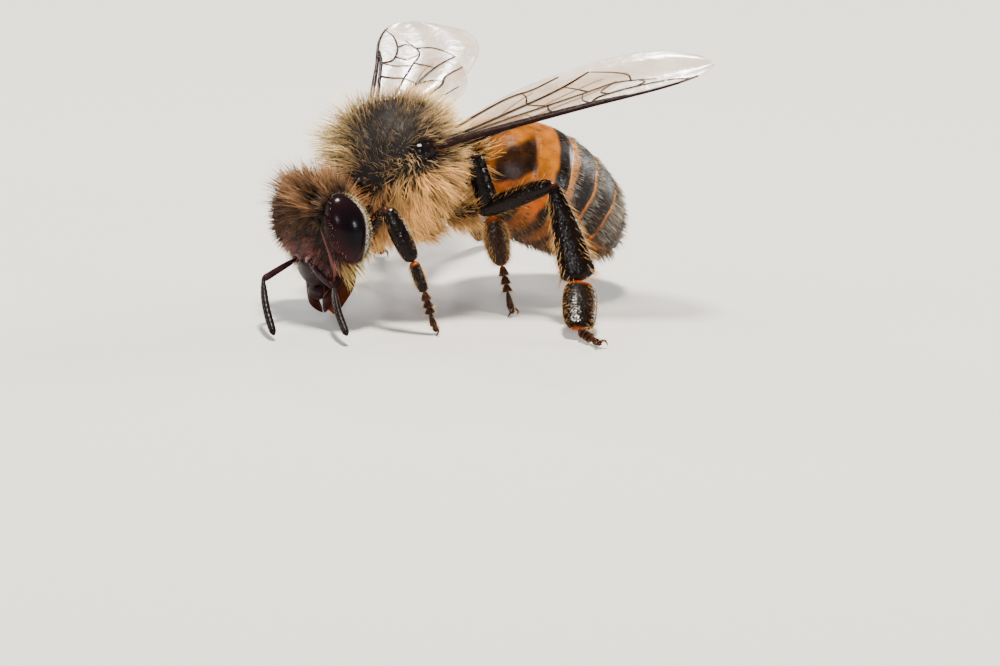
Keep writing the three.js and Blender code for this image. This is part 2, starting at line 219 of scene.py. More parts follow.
def addObject(name, data):
    thing = bpy.data.objects.new(name, data)
    bpy.context.scene.collection.objects.link(thing)
    return thing


def finishPiece(piece, slot, *nodes):
    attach(piece, "root")
    if nodes:
        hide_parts(*nodes)
    return piece


def addPiece(name, shape, material, slot, *nodes, **attributes):
    # shape is (points, faces); the piece stands for the named nodes
    return finishPiece(addMesh(name, *shape, material, attributes), slot, *nodes)


def outward(points, faces):
    # the faces, turned the other way round if they point into the body
    fans = np.array([(face[0], face[i], face[i + 1]) for face in faces for i in range(1, len(face) - 1)])
    a, b, c = (points[fans[:, i]] for i in range(3))
    return faces if np.einsum("ij,ij->", a, np.cross(b, c)) > 0 else [face[::-1] for face in faces]


def closedLoft(rings, firstPole=None, lastPole=None):
    # rings is (count, sides, 3), with a fan to a pole at each end, by default the end ring's middle
    rings = np.asarray(rings, float)
    count, sides, _ = rings.shape
    firstPole = rings[0].mean(0) if firstPole is None else firstPole
    lastPole = rings[-1].mean(0) if lastPole is None else lastPole
    points = np.concatenate([[firstPole], rings.reshape(-1, 3), [lastPole]])
    faces = []
    for ring in range(count - 1):
        a, b = 1 + ring * sides, 1 + (ring + 1) * sides
        faces += [(a + i, a + (i + 1) % sides, b + (i + 1) % sides, b + i) for i in range(sides)]
    last = 1 + (count - 1) * sides
    faces += [(0, 1 + (i + 1) % sides, 1 + i) for i in range(sides)]
    faces += [(last + sides, last + i, last + (i + 1) % sides) for i in range(sides)]
    return points, outward(points, faces)


def tube(path, radii, sides, wideTo=(0.13, 0.31, 0.94), flat=1.0, poles=()):
    # a closed tube along a path; wideTo is the way that the wide side of a flattened one faces
    path = np.asarray(path, float)
    along = unit(np.gradient(path, axis=0))
    wide = unit(np.cross(np.broadcast_to(wideTo, path.shape), along))
    thin = np.cross(along, wide)
    angle = np.arange(sides) / sides * 2 * np.pi
    radii, flat = (np.broadcast_to(size, len(path))[:, None, None] for size in (radii, flat))
    across = wide[:, None] * np.cos(angle)[None, :, None]
    rings = path[:, None] + radii * (across + flat * thin[:, None] * np.sin(angle)[None, :, None])
    return closedLoft(rings, *poles)


def joined(parts):
    # several (points, faces) as one
    points, faces, offset = [], [], 0
    for partPoints, partFaces in parts:
        points.append(partPoints)
        faces += [tuple(i + offset for i in face) for face in partFaces]
        offset += len(partPoints)
    return np.concatenate(points), faces


def dome(middle, way, radius, height, sides=16, rows=6):
    # a small half-buried dome
    way = unit(way)
    wide = unit(np.cross(way, (0.3, 0.9, 0.2)))
    angle = np.arange(sides) / sides * 2 * np.pi
    ring = np.cos(angle)[:, None] * wide + np.sin(angle)[:, None] * np.cross(way, wide)
    lift = np.linspace(-0.9, 0.9, 2 * rows + 1)
    rings = [middle + way * height * s + ring * radius * math.sqrt(1 - s * s) for s in lift]
    return closedLoft(rings, middle - way * height, middle + way * height)


def feed(node, inputs):
    # sets a node's inputs to values, or links them to sockets
    for key, value in inputs.items():
        if isinstance(value, bpy.types.NodeSocket):
            node.id_data.links.new(value, node.inputs[key])
        else:
            node.inputs[key].default_value = value


class Nodes:
    # short ways to build a node tree; each gives an output of the new node
    def __init__(self, tree):
        self.tree = tree

    def add(self, kind, inputs=None, out=0, **settings):
        node = self.tree.nodes.new(kind)
        for name, value in settings.items():
            setattr(node, name, value)
        feed(node, inputs or {})
        return node.outputs[out]

    def maths(self, operation, a, b):
        return self.add("ShaderNodeMath", {0: a, 1: b}, operation=operation)

    def vector(self, operation, a, b):
        second = "Scale" if operation == "SCALE" else 1
        return self.add("ShaderNodeVectorMath", {0: a, second: b}, operation=operation)

    def between(self, value, low, high, fromLow=0.0, fromHigh=1.0):
        return self.add("ShaderNodeMapRange", {
            "Value": value, "From Min": fromLow, "From Max": fromHigh, "To Min": low, "To Max": high})

    def blend(self, share, first, second):
        return self.add("ShaderNodeMix", {"Factor": share, "A": first, "B": second}, 2, data_type="RGBA")

    def attribute(self, name, out="Fac"):
        return self.add("ShaderNodeAttribute", out=out, attribute_name=name)

    def objectPlace(self):
        return self.add("ShaderNodeTexCoord", out="Object")

    def noise(self, place, scale, detail, out="Fac"):
        return self.add("ShaderNodeTexNoise", {"Vector": place, "Scale": scale, "Detail": detail}, out)

    def cells(self, place, scale):
        return self.add("ShaderNodeTexVoronoi", {"Vector": place, "Scale": scale})

    def relief(self, height, distance, strength):
        return self.add("ShaderNodeBump", {"Height": height, "Distance": distance, "Strength": strength})


def newGroup(name, treeKind, inputs, outputs):
    # inputs are {label: (kind, value)} and outputs {label: kind}
    group = bpy.data.node_groups.new(name, treeKind)
    for label, (kind, value) in inputs.items():
        socket = group.interface.new_socket(label, in_out="INPUT", socket_type="NodeSocket" + kind)
        if value is not None:
            socket.default_value = value
    for label, kind in outputs.items():
        group.interface.new_socket(label, in_out="OUTPUT", socket_type="NodeSocket" + kind)
    return Nodes(group), group.nodes.new("NodeGroupInput").outputs, group.nodes.new("NodeGroupOutput")


def makeGrain():
    # fine pits and slow blotches, as all of the shell has
    make, given, out = newGroup("shellGrain", "ShaderNodeTree", {
        "Colour": ("Color", (0.5, 0.5, 0.5, 1)), "Blotch": ("Float", 0.3), "Blotch scale": ("Float", 3000),
        "Pit scale": ("Float", 26000), "Roughness": ("Float", 0.3), "Depth": ("Float", 0.2)},
        {"Colour": "Color", "Roughness": "Float", "Normal": "Vector"})
    place = make.objectPlace()
    slow = make.noise(place, given["Blotch scale"], 4.0)
    low, high = (make.maths(operation, 1.0, given["Blotch"]) for operation in ("SUBTRACT", "ADD"))
    feed(out, {
        "Colour": make.vector("SCALE", given["Colour"], make.between(slow, low, high, 0.3, 0.7)),
        "Roughness": make.maths("MULTIPLY", given["Roughness"], make.between(slow, 0.8, 1.25, 0.3, 0.7)),
        "Normal": make.relief(make.cells(place, given["Pit scale"]), 0.00001, given["Depth"])})
    return make.tree


grain = makeGrain()


def newMaterial(name):
    material = bpy.data.materials.new(name)
    material.use_nodes = True
    return material, Nodes(material.node_tree), material.node_tree.nodes["Principled BSDF"]


def shellMaterial(name, roughness, depth, gloss, blotch=0.3, pits=26000.0, colour=None):
    # polished shell; without a colour or a roughness it reads the tint or rough of each point
    material, make, shader = newMaterial(name)
    look = make.add("ShaderNodeGroup", {
        "Colour": (*linear(colour), 1) if colour else make.attribute("tint", "Color"),
        "Roughness": make.attribute("rough") if roughness is None else roughness,
        "Blotch": blotch, "Depth": depth, "Pit scale": pits}, node_tree=grain).node.outputs
    feed(shader, {"Base Color": look["Colour"], "Roughness": look["Roughness"], "Normal": look["Normal"],
                  "Specular IOR Level": gloss})
    return material


def hairMaterial(name, rootShade, tipShade, gloss):
    # hair takes its tint from its root, darker below and lighter to the tip: partly the hair's own colour,
    # partly painted shade deep in the coat and a painted highlight on the tips
    material, make, shader = newMaterial(name)
    shade = make.between(make.attribute("along"), rootShade, tipShade)
    shade = make.maths("MULTIPLY", shade, make.attribute("shade"))
    feed(shader, {"Base Color": make.vector("SCALE", make.attribute("tint", "Color"), shade),
                  "Roughness": 0.5, "Specular IOR Level": gloss})
    return material


skinFinish = shellMaterial("skinShell", None, 0.4, 0.14)
limbFinish = shellMaterial("limbShell", 0.2, 0.9, 0.1, blotch=0.4, pits=13000.0)
antennaFinish = shellMaterial("antennaShell", 0.26, 0.15, 0.06)
mouthFinish = shellMaterial("mouthShell", 0.28, 0.12, 0.04, blotch=0.35)
# root and tip shades: painted shade deep in the coat and a painted highlight towards the tips
hairFinish = hairMaterial("coatHair", 0.15, 1.62, 0.25)
bristleFinish = hairMaterial("bristleHair", 0.6, 1.4, 0.1)
print("finishes made")


skin = {"sides": 128, "abdomenRings": 220, "thoraxRings": 112, "neckRings": 12, "headRings": 96}
around = np.arange(skin["sides"]) / skin["sides"] * 2 * np.pi  # from the left side, over the top

abdomen = {"length": 6.4, "yaw": 9, "drop": 11, "bend": 36, "halfWidth": 2.04, "halfHeight": 1.86,
           "belly": 0.94, "waist": (0, -2.05, -0.3), "plateEnds": (0, 0.09, 0.3, 0.465, 0.602, 0.745, 1)}
abdomenWidth = through((0, 0.2), (0.06, 0.5), (0.16, 0.82), (0.3, 0.97), (0.45, 1), (0.6, 0.95),
                       (0.75, 0.82), (0.9, 0.52), (1, 0.12))
abdomenMarks = np.linspace(0.995, 0.0, skin["abdomenRings"])[:, None]  # rings from the tip to the waist


def abdomenWay(t):
    return toward(1, 90 - abdomen["yaw"], abdomen["drop"] + abdomen["bend"] * np.asarray(t, float))


def plateOf(t):
    # which plate, and how far along it
    ends = np.array(abdomen["plateEnds"])
    k = np.clip(np.searchsorted(ends, t, side="right") - 1, 0, 5)
    return k, (t - ends[k]) / (ends[k + 1] - ends[k])


def abdomenRings():
    t, up = abdomenMarks, np.sin(around)
    _, s = plateOf(t)
    lap = 0.98 + 0.03 * s - 0.022 * step(0.86, 1, s) * (t < 0.9)  # each plate laps over the next
    fold = 0.035 * bump(up, -0.42, 0.07) * step(0.02, 0.15, t)  # between back and belly plates
    size = abdomenWidth(t) * lap - fold
    tall = abdomen["halfHeight"] * np.where(up >= 0, 1, abdomen["belly"])
    t = t[:, 0]
    way = abdomenWay(t)
    wide = unit(np.array((1.0, 0, 0)) - way * way[..., :1])
    steps = (np.arange(60) + 0.5) / 60
    reach = abdomenWay(t[..., None] * steps).mean(-2) * abdomen["length"] * t[..., None]
    middle = thoraxPlace.at(*abdomen["waist"]) + reach
    return (middle[:, None] + scaled(wide[:, None], abdomen["halfWidth"] * size * np.cos(around))
            + scaled(np.cross(wide, way)[:, None], tall * size * up))


thorax = {
    "length": 4.3, "halfWidth": 1.93, "top": 1.97, "bottom": 1.86,
    "widthShape": through((0.04, 0.42), (0.15, 0.72), (0.35, 0.95), (0.5, 1), (0.7, 0.93), (0.87, 0.68),
                          (0.97, 0.33)),
    "topShape": through((0.04, 0.3), (0.15, 0.64), (0.35, 0.94), (0.5, 1), (0.7, 0.93), (0.87, 0.62),
                        (0.97, 0.28)),
    "bottomShape": through((0.04, 0.42), (0.15, 0.72), (0.35, 0.95), (0.55, 1), (0.75, 0.88), (0.9, 0.6),
                           (0.97, 0.35)),
}


def thoraxRings():
    u = np.linspace(0.03, 0.945, skin["thoraxRings"])[:, None]  # from the waist to the neck
    t = 1 - u
    blunt = 2 / 2.1
    c, s = (np.sign(x) * np.abs(x) ** blunt for x in (np.cos(around), np.sin(around)))
    left = thorax["halfWidth"] * thorax["widthShape"](t) * c
    top, bottom = (thorax[end] * thorax[end + "Shape"](t) for end in ("top", "bottom"))
    up = np.where(s >= 0, top, bottom) * s
    forward = (u - 0.5) * thorax["length"] + 0 * left
    toWaist, toNeck = 1 - step(0.0, 0.22, u), step(0.72, 0.97, u)
    up = up - 0.3 * toWaist - 0.62 * toNeck
    left = left + 0.14 * toNeck
    # the shoulder furrow in front of the small shield, the shield's swelling, and the side seams
    out = unit(np.stack([left, forward, up], -1))
    shield = 0.13 * bump(forward, -1.42, 0.3) * step(0.25, 0.8, out[..., 2]) * bump(left, 0, 1.0)
    furrow = -0.07 * bump(forward, -1.02, 0.07) * step(0.2, 0.6, out[..., 2])
    seam = -0.05 * bump(forward, 0.95 + 0.35 * up, 0.07) * step(0.45, 0.75, np.abs(out[..., 0])) * (up < 0.4)
    midline = -0.025 * bump(left, 0, 0.05) * step(-0.6, 0.2, forward) * step(0.2, 0.6, out[..., 2])
    swollen = np.stack([left, forward, up], -1) + scaled(out, shield + furrow + seam + midline)
    return thoraxPlace.at(*np.moveaxis(swollen, -1, 0))


head = {
    "halfWidth": 1.6, "halfDepth": 0.9, "mouth": -1.66, "crown": 1.6, "neckAngle": 34,
    "widthShape": through((0, 0.1), (0.04, 0.3), (0.15, 0.56), (0.35, 0.82), (0.6, 1), (0.75, 1),
                          (0.9, 0.76), (0.97, 0.42), (1, 0.1)),
    "frontShape": through((0, 0.35), (0.05, 0.95), (0.12, 1.2), (0.22, 1.28), (0.36, 1.16), (0.5, 1.08),
                          (0.65, 1), (0.85, 0.82), (0.97, 0.44), (1, 0.12)),
    "backShape": through((0, 0.08), (0.04, 0.18), (0.2, 0.45), (0.5, 0.76), (0.8, 0.85), (0.97, 0.45),
                         (1, 0.12)),
}
eye = {"out": 1.45, "forward": 0.08, "up": 0.16, "halfHeight": 1.12, "halfDepth": 0.74, "halfWidth": 0.5}


def insideHead(left, forward, up):
    t = (up - head["mouth"]) / (head["crown"] - head["mouth"])
    half = head["halfWidth"] * head["widthShape"](t)
    depth = head["halfDepth"] * np.where(forward >= 0, head["frontShape"](t), head["backShape"](t))
    power = 2.15
    return ((np.abs(left) / half) ** power + (np.abs(forward) / depth) ** power < 1) & (t > 0) & (t < 1)


def headReach(way):
    # how far the head's surface is from its middle, for ways of (left, forward, up)
    low, high = np.zeros(way.shape[:-1]), np.full(way.shape[:-1], 3.0)
    for _ in range(26):  # halves the gap until nothing of it is left to see
        half = (low + high) / 2
        within = insideHead(*np.moveaxis(scaled(way, half), -1, 0))
        low, high = np.where(within, half, low), np.where(within, high, half)
    return low


def headRings():
    angle = np.radians(np.linspace(head["neckAngle"], 179, skin["headRings"]))[:, None]
    way = np.stack(np.broadcast_arrays(
        np.sin(angle) * np.cos(around), -np.cos(angle), np.sin(angle) * np.sin(around)), -1)
    spot = scaled(way, headReach(way))
    left, forward, up = np.moveaxis(spot, -1, 0)
    radius = np.hypot(left / 1.5, (up + 1.05) * (1 + 0.25 * (up < -1.05)))
    shield = 0.05 * step(0.5, 0.4, radius)  # the face shield over the mouth, with a groove round it
    rim = -0.05 * bump(radius, 0.5, 0.04)
    sockets = -0.09 * bump(np.hypot(np.abs(left) - 0.33, up + 0.5), 0, 0.15)
    brow = 0.05 * bump(left, 0, 0.1) * bump(up, -0.1, 0.4)
    spot = spot + scaled(way, step(0.1, 0.5, forward) * (shield + rim + sockets + brow))
    return headPlace.at(*np.moveaxis(spot, -1, 0))


# Colours of the shell.
tone = palette(black="#120d0b", brown="#2b180e", amber="#b86810", orange="#b04a08", dusk="#4a2c14",
               belly="#8c4c1a", straw="#c08a52", plum="#1a0b0d", gena="#5a2a10")


def wander(points, scale, seed):
    # a slow smooth wobble of -1 to 1 over space
    random = np.random.default_rng(seed)
    total = np.zeros(points.shape[:-1])
    for _ in range(5):
        total += np.sin(points @ random.normal(0, scale, 3) + random.uniform(0, 6.28))
    return total / 3


def abdomenColour(points):
    t = abdomenMarks + 0 * around + 0.006 * wander(points, 2.2, 3)
    k, s = plateOf(t)
    high = np.degrees(np.arcsin(np.clip(np.sin(around), -1, 1)))[None, :] + 0 * t
    darkFrom = np.array([0.2, 1.2, 0.57, 0.27, 0.1, 0.06])[k]  # where each plate turns dark
    dark = step(darkFrom - 0.05, darkFrom + 0.07, s + 0.03 * wander(points, 5, 9))
    # the dark patch is partly a dark marking and partly painted shadow of the wing's base
    band = high - (18 + 150 * (t - 0.19))  # the dark patch on each side of the second plate
    below, above = band + 21 + 2 * wander(points, 5, 8), 24 - band + 7 * wander(points, 4, 6)
    rearmost = step(0.312, 0.27, t + 0.012 * wander(points, 6, 7))
    patch = step(-1.5, 2.5, below) * step(-6, 12, above) * step(0.09, 0.13, t) * rearmost
    colour = paint(points, tone, "amber", ("straw", np.where(k > 2, 0.6, 0.0)),
                   ("orange", 0.8 * step(25, -10, high)), ("black", dark),
                   ("black", patch * (0.95 + 0.05 * wander(points, 7, 5))),
                   ("dusk", 0.75 * step(52, 74, high) * step(0.3, 0.2, t)))
    under = paint(points, tone, "belly", ("brown", step(0.45, 0.75, s)))
    return mix(colour, under, step(-24, -34, high))


def faceShield(left, forward, up):
    # the bare plate over the mouth
    return step(0.66, 0.54, np.hypot(left / 1.35, up + 1.15)) * step(0.2, 0.5, forward)


def headColour(points):
    left, forward, up = headPlace.apart(points)
    cheek = step(-0.85, -1.15, up) * step(0.75, 0.35, forward)
    return paint(points, tone, "black", ("plum", faceShield(left, forward, up)), ("gena", cheek))


def makeSkin():
    rings = {"abdomen": abdomenRings(), "thorax": thoraxRings(), "neck": None, "head": headRings()}
    w = step(0, 1, np.linspace(0, 1, skin["neckRings"] + 2)[1:-1])[:, None, None]
    rings["neck"] = rings["thorax"][-1] * (1 - w) + rings["head"][0] * w
    colours = {"abdomen": abdomenColour, "head": headColour}
    shield = faceShield(*headPlace.apart(rings["head"]))
    roughness = {"abdomen": 0.29 + 0.2 * step(0.45, 0.6, abdomenMarks), "thorax": 0.62, "neck": 0.6,
                 "head": 0.5 - 0.1 * shield}
    tint = [colours.get(part, lambda points: paint(points, tone, "black"))(ring).reshape(-1, 3)
            for part, ring in rings.items()]
    rough = [(roughness[part] * np.ones(ring.shape[:2])).ravel() for part, ring in rings.items()]
    addPiece("skin", closedLoft(np.concatenate(list(rings.values()))), skinFinish, "band",
             "head", "thorax", *(f"abdomen_{k}" for k in range(1, 7)),
             tint=np.pad(opaque(np.concatenate(tint)), ((1, 1), (0, 0)), mode="edge"),
             rough=np.pad(np.concatenate(rough), 1, mode="edge"))
    return rings


rings = makeSkin()
print("skin made")


# The hair tree's inputs, and their values for each kind of hair.
hairInputs = ("Hairs per area", "Thickness", "Bend", "Stray", "Tuft size", "Tuft pull", "Tuft fill", "Kink",
              "Joints", "Seed")
hairKinds = {
    "side": (1000.0, 0.015, 0.2, 0.24, 0.2, 0.9, 0.43, 0.2, 3, 11),
    "back": (400.0, 0.0115, 0.2, 0.2, 0.14, 0.35, 0.75, 0.24, 3, 11),
    "head": (640.0, 0.0135, 0.16, 0.26, 0.17, 0.8, 0.42, 0.12, 3, 12),
    "guard": (90.0, 0.009, 0.16, 0.3, 0.17, 0.1, 1.0, 0.12, 3, 14),
    "abdomen": (420.0, 0.028, 0.15, 0.2, 0.15, 0.25, 0.8, 0.03, 2, 13),
    "eye": (420.0, 0.03, 0.1, 0.15, 0.17, 0.0, 1.0, 0.0, 2, 14),
    "leg": (560.0, 0.018, 0.15, 0.3, 0.1, 0.05, 1.0, 0.02, 2, 21),
    "hindLeg": (560.0, 0.013, 0.15, 0.3, 0.1, 0.05, 1.0, 0.02, 2, 21),
}
bakePatch = 0.003  # the size of a hair's patch on the bake map
rootDepth = 0.02  # how far below the skin the hairs start


def makeHairTree():
    # bent tapered spikes over a guide mesh in millimetres that carries dense, long, lie, curl, tint and spot
    labels = {label: ("Int" if label in ("Joints", "Seed") else "Float", None) for label in hairInputs}
    make, given, out = newGroup("hairOverSkin", "GeometryNodeTree", {
        "Geometry": ("Geometry", None), **labels, "Material": ("Material", None)}, {"Geometry": "Geometry"})
    maths, vector = make.maths, make.vector

    def named(name, kind="FLOAT"):
        return make.add("GeometryNodeInputNamedAttribute", {"Name": name}, data_type=kind)

    def anyOf(low, high, seed):
        return make.add("FunctionNodeRandomValue", {2: low, 3: high, "Seed": seed}, 1)

    def anyWay(seed):
        return make.add("FunctionNodeRandomValue", {0: (-1, -1, -1), 1: (1, 1, 1), "Seed": seed},
                        data_type="FLOAT_VECTOR")

    def combined(x, y=0.0, z=0.0):
        return make.add("ShaderNodeCombineXYZ", {"X": x, "Y": y, "Z": z})

    def store(geometry, name, value, kind, domain="POINT"):
        return make.add("GeometryNodeStoreNamedAttribute", {
            "Geometry": geometry, "Name": name, "Value": value}, data_type=kind, domain=domain)

    roots = make.add("GeometryNodeDistributePointsOnFaces", {
        "Mesh": given["Geometry"], "Density": maths("MULTIPLY", given["Hairs per area"], named("dense")),
        "Seed": given["Seed"]})

    # one hair: a spike one unit long, its tip bent over
    hair = make.add("GeometryNodeMeshCone", {
        "Vertices": 3, "Side Segments": given["Joints"], "Radius Top": 0.0,
        "Radius Bottom": given["Thickness"], "Depth": 1.0}, fill_type="NGON")
    position = make.add("GeometryNodeInputPosition")
    x, y, z = make.add("ShaderNodeSeparateXYZ", {0: position}).node.outputs
    spread = maths("DIVIDE", maths("ADD", x, maths("MULTIPLY", y, 0.6)), given["Thickness"])
    hair = store(hair, "patch", combined(maths("MULTIPLY", spread, 0.4), z), "FLOAT_VECTOR")
    hair = store(hair, "along", z, "FLOAT")
    fuller = maths("SUBTRACT", 1.55, maths("MULTIPLY", z, 0.25))
    bent = maths("MULTIPLY", maths("POWER", z, 2.0), given["Bend"])
    hair = make.add("GeometryNodeSetPosition", {
        "Geometry": hair, "Position": vector("MULTIPLY", position, combined(fuller, fuller, 1.0)),
        "Offset": combined(bent)})

    # the way it points: its lie, drawn to the middle of its tuft, and a little astray
    length = named("long")
    tuft = make.cells(position, maths("DIVIDE", 1.0, given["Tuft size"])).node.outputs
    pull = vector("SCALE", vector("SUBTRACT", tuft["Position"], position),
                  maths("DIVIDE", given["Tuft pull"], length))
    way = vector("ADD", vector("ADD", named("lie", "FLOAT_VECTOR"), pull),
                 vector("SCALE", anyWay(given["Seed"]), given["Stray"]))
    turn = make.add("FunctionNodeAxesToRotation", {
        "Primary Axis": way,
        "Secondary Axis": vector("ADD", named("curl", "FLOAT_VECTOR"), vector("SCALE", anyWay(77), 0.7))},
        primary_axis="Z", secondary_axis="X")
    inTuft = make.add("FunctionNodeCompare", {
        0: maths("SUBTRACT", tuft["Distance"], anyOf(0.0, 0.25, 9)), 1: given["Tuft fill"]},
        operation="LESS_THAN")
    hairs = make.add("GeometryNodeInstanceOnPoints", {
        "Points": roots, "Selection": inTuft, "Instance": hair, "Rotation": turn,
        "Scale": vector("SCALE", (1, 1, 1), maths("MULTIPLY", anyOf(0.45, 1.3, 5), length))})
    tuftShade = make.between(make.add("ShaderNodeSeparateXYZ", {0: tuft["Color"]}), 0.5, 1.35)
    hairs = store(hairs, "shade", maths("MULTIPLY", tuftShade, anyOf(0.45, 1.5, 6)), "FLOAT", "INSTANCE")
    coat = make.add("GeometryNodeRealizeInstances", {"Geometry": hairs})
    wave = vector("SUBTRACT", make.noise(position, 4.0, 1.0, "Color"), (0.5, 0.5, 0.5))
    sway = vector("SCALE", wave, maths("MULTIPLY", given["Kink"], named("along")))
    coat = make.add("GeometryNodeSetPosition", {"Geometry": coat, "Offset": sway})
    patch = vector("SCALE", named("patch", "FLOAT_VECTOR"), bakePatch)
    uv = vector("ADD", named("spot", "FLOAT_VECTOR"), patch)
    coat = make.add("GeometryNodeSetShadeSmooth", {"Geometry": store(coat, "OFBake", uv, "FLOAT2", "CORNER")})
    feed(out, {0: make.add("GeometryNodeSetMaterial", {"Geometry": coat, "Material": given["Material"]})})
    return make.tree


hairTree = makeHairTree()


def growHair(name, points, faces, look, material, slot, kind):
    # points in millimetres; look holds dense, long, lie, curl, tint and spot for each point
    guide = addMesh(name + "Guide", points / millimetre, faces, None, look)
    modifier = guide.modifiers.new("hair", "NODES")
    modifier.node_group = hairTree
    values = {**dict(zip(hairInputs, hairKinds[kind])), "Material": material}
    for item in hairTree.interface.items_tree:
        if item.in_out == "INPUT" and item.name in values:
            modifier[item.identifier] = values[item.name]
    evaluated = guide.evaluated_get(bpy.context.evaluated_depsgraph_get())
    mesh = bpy.data.meshes.new_from_object(evaluated)
    bpy.data.objects.remove(guide)
    mesh.name = name
    places = np.empty(len(mesh.vertices) * 3)
    mesh.vertices.foreach_get("co", places)
    places[2::3] = np.maximum(places[2::3], 0)  # nothing grows into the floor
    mesh.vertices.foreach_set("co", places * millimetre)
    for key in ("patch", "spot", "lie", "long", "dense", "curl"):
        if key in mesh.attributes:
            mesh.attributes.remove(mesh.attributes[key])
    print(f"{name}: {len(mesh.loops) - 2 * len(mesh.polygons)} triangles")
    return finishPiece(addObject(name, mesh), slot)


def hairLook(shape, dense, long, lie, curl, tint, spot):
    # the values that the hair reads at each point of its guide mesh
    look = {key: np.broadcast_to(value, shape).ravel() for key, value in (("dense", dense), ("long", long))}
    for key, value in (("lie", lie), ("curl", curl), ("tint", opaque(np.clip(tint, 0, 1))), ("spot", spot)):
        look[key] = value.reshape(-1, value.shape[-1])
    return look


def coatPiece(name, part, look, kind, *region):
    # a part of the skin as an open grid with its seam column doubled, its normals, and its place on an unwrap
    part = np.concatenate([part, part[:, :1]], 1)
    rows, columns, _ = part.shape
    normal = unit(np.cross(np.gradient(part, axis=1), np.gradient(part, axis=0)))
    if np.einsum("ijk,ijk->", part - part.mean(1, keepdims=True), normal) < 0:
        normal = -normal
    faces = [(r * columns + c, r * columns + c + 1, (r + 1) * columns + c + 1, (r + 1) * columns + c)
             for r in range(rows - 1) for c in range(columns - 1)]
    u, v = np.meshgrid(*(np.linspace(0.02, 0.98, count) for count in (rows, columns)), indexing="ij")
    values = hairLook((rows, columns), *look(part, normal, *region), np.stack([u, v, 0 * u], -1))
    growHair(name, (part - normal * rootDepth).reshape(-1, 3), faces, values, hairFinish, "coat", kind)


hairTone = palette(buff="#e2ae68", gold="#e8b068", tan="#7e5c3c", grey="#94826a", rust="#8a542c",
                   brown="#54382a", dark="#2e1d14", pale="#f4d890", mauve="#8e5c56", ash="#a8a090",
                   orange="#c08850", straw="#ffd47c", slate="#6c5c48", cream="#f2dca0")
down = np.array((0, 0, -1.0))
rear = np.array((0, 1.0, 0))


def wobble(points, scale, seed):
    return np.stack([wander(points, scale, seed + i) for i in range(3)], -1)


def shareAlong(points, start, end):
    # how far down the line between two places points are, 0 at its start and 1 at its end
    way = end - start
    return ((points - start) @ way) / (way @ way)


def nearLine(points, start, end):
    # how far points are from the line between two places
    u = np.clip(shareAlong(points, start, end), 0, 1)
    return np.linalg.norm(points - start - scaled(end - start, u), axis=-1)


def near(points, place):
    return np.linalg.norm(points - place, axis=-1)


def thoraxLook(points, normal, region):
    left, forward, up = thoraxPlace.apart(points)
    out = unit(np.stack([left, forward, up], -1))
    height, front = out[..., 2], out[..., 1]
    back = step(-0.04, 0.08, height - 0.14 * step(0.75, 0.2, front))  # its edge runs from neck to wing
    shoulder = back * step(-0.6, -0.45, front)
    onBack, onLeft, low = back > 0.5, left > 0, height <= -0.62
    within = {"top": onBack & onLeft, "crest": onBack & ~onLeft, "left": ~onBack & onLeft & ~low,
              "right": ~onBack & ~onLeft & ~low, "breast": ~onBack & low}[region]
    dense = within * (1 - 0.35 * shoulder) * np.clip(0.9 + 0.5 * wander(points, 3.4, 36), 0.3, 1.2)
    # pale longer hair at the neck, and a dark thinner disc on each side of the back
    collar = back * step(0.05, 0.55, front) * step(0.7, -0.3, left)
    discMiddle = near(out * (np.sign(left)[..., None] * (1, 0, 0) + (0, 1, 1)), unit((0.44, 0.46, 0.77)))
    disc = back * step(0.68, 0.38, discMiddle + 0.05 * wander(points, 3, 35)) * step(-1.1, 0.5, left)
    dense = dense * (1 - 0.35 * disc)
    long = (0.66 + 0.08 * step(0.1, -0.4, height) - 0.1 * shoulder + 0.42 * collar) * (1 - 0.26 * disc)
    for sideName, side in bothSides.items():  # thin over the lobe and the wing cap, short round the legs
        lobe, cap = (near(points, thoraxPlace.at(*mirrored(side, spot)))
                     for spot in ((1.04, 1.7, 0.08), (1.72, -0.1, 0.86)))
        dense = dense * (1 - 0.97 * step(0.36, 0.2, lobe)) * (1 - 0.98 * step(0.42, 0.28, cap))
        long = long * (1 - 0.5 * step(0.75, 0.3, lobe))
        for legName in ("fore", "mid"):
            _, hip, knee, ankle = legJoints(legName, sideName)[:4]
            gap = np.minimum(nearLine(points, hip, knee), nearLine(points, knee, ankle))
            long = long * (0.3 + 0.7 * step(0.3, 1.0, gap))
    lie = (scaled(normal, 0.75 + 0.5 * shoulder)
           + scaled(rear, 0.4 * step(0.6, 0.1, front) * (1 - shoulder) * (1 - 0.7 * back))
           + scaled(down, 0.6 * step(0.25, -0.2, height))
           + 0.28 * wobble(points, 1.6, 21) + scaled(wobble(points, 7, 31), 0.35 * shoulder))
    tint = paint(points, hairTone, "gold", ("buff", step(0.1, 0.7, height)), ("grey", 0.6 * shoulder),
                 ("pale", 0.6 * back * step(-0.35, -0.6, front)), ("slate", 0.62 * disc),
                 ("pale", 0.5 * collar * (1 - disc)),
                 ("rust", 0.7 * step(0.35, 0.7, front) * step(0.25, 0.0, height)))
    curl = rear * 0.5 + down * 0.9 + 0 * normal
    return dense, long, lie, curl, scaled(tint, 1 + 0.2 * wander(points, 4, 41))


def cheekRidge(side):
    # a bare ridge from the inner edge of the eye down to the jaw
    stations = ((1.18, 0.85, 0.5), (1.14, 0.8, 0.1), (1.02, 0.72, -0.6), (0.76, 0.62, -1.38))
    way = unit(evenCurve(stations, np.linspace(0, 1, 40)))
    return headPlace.at(*(scaled(way, headReach(way)) * (side, 1, 1)).T)


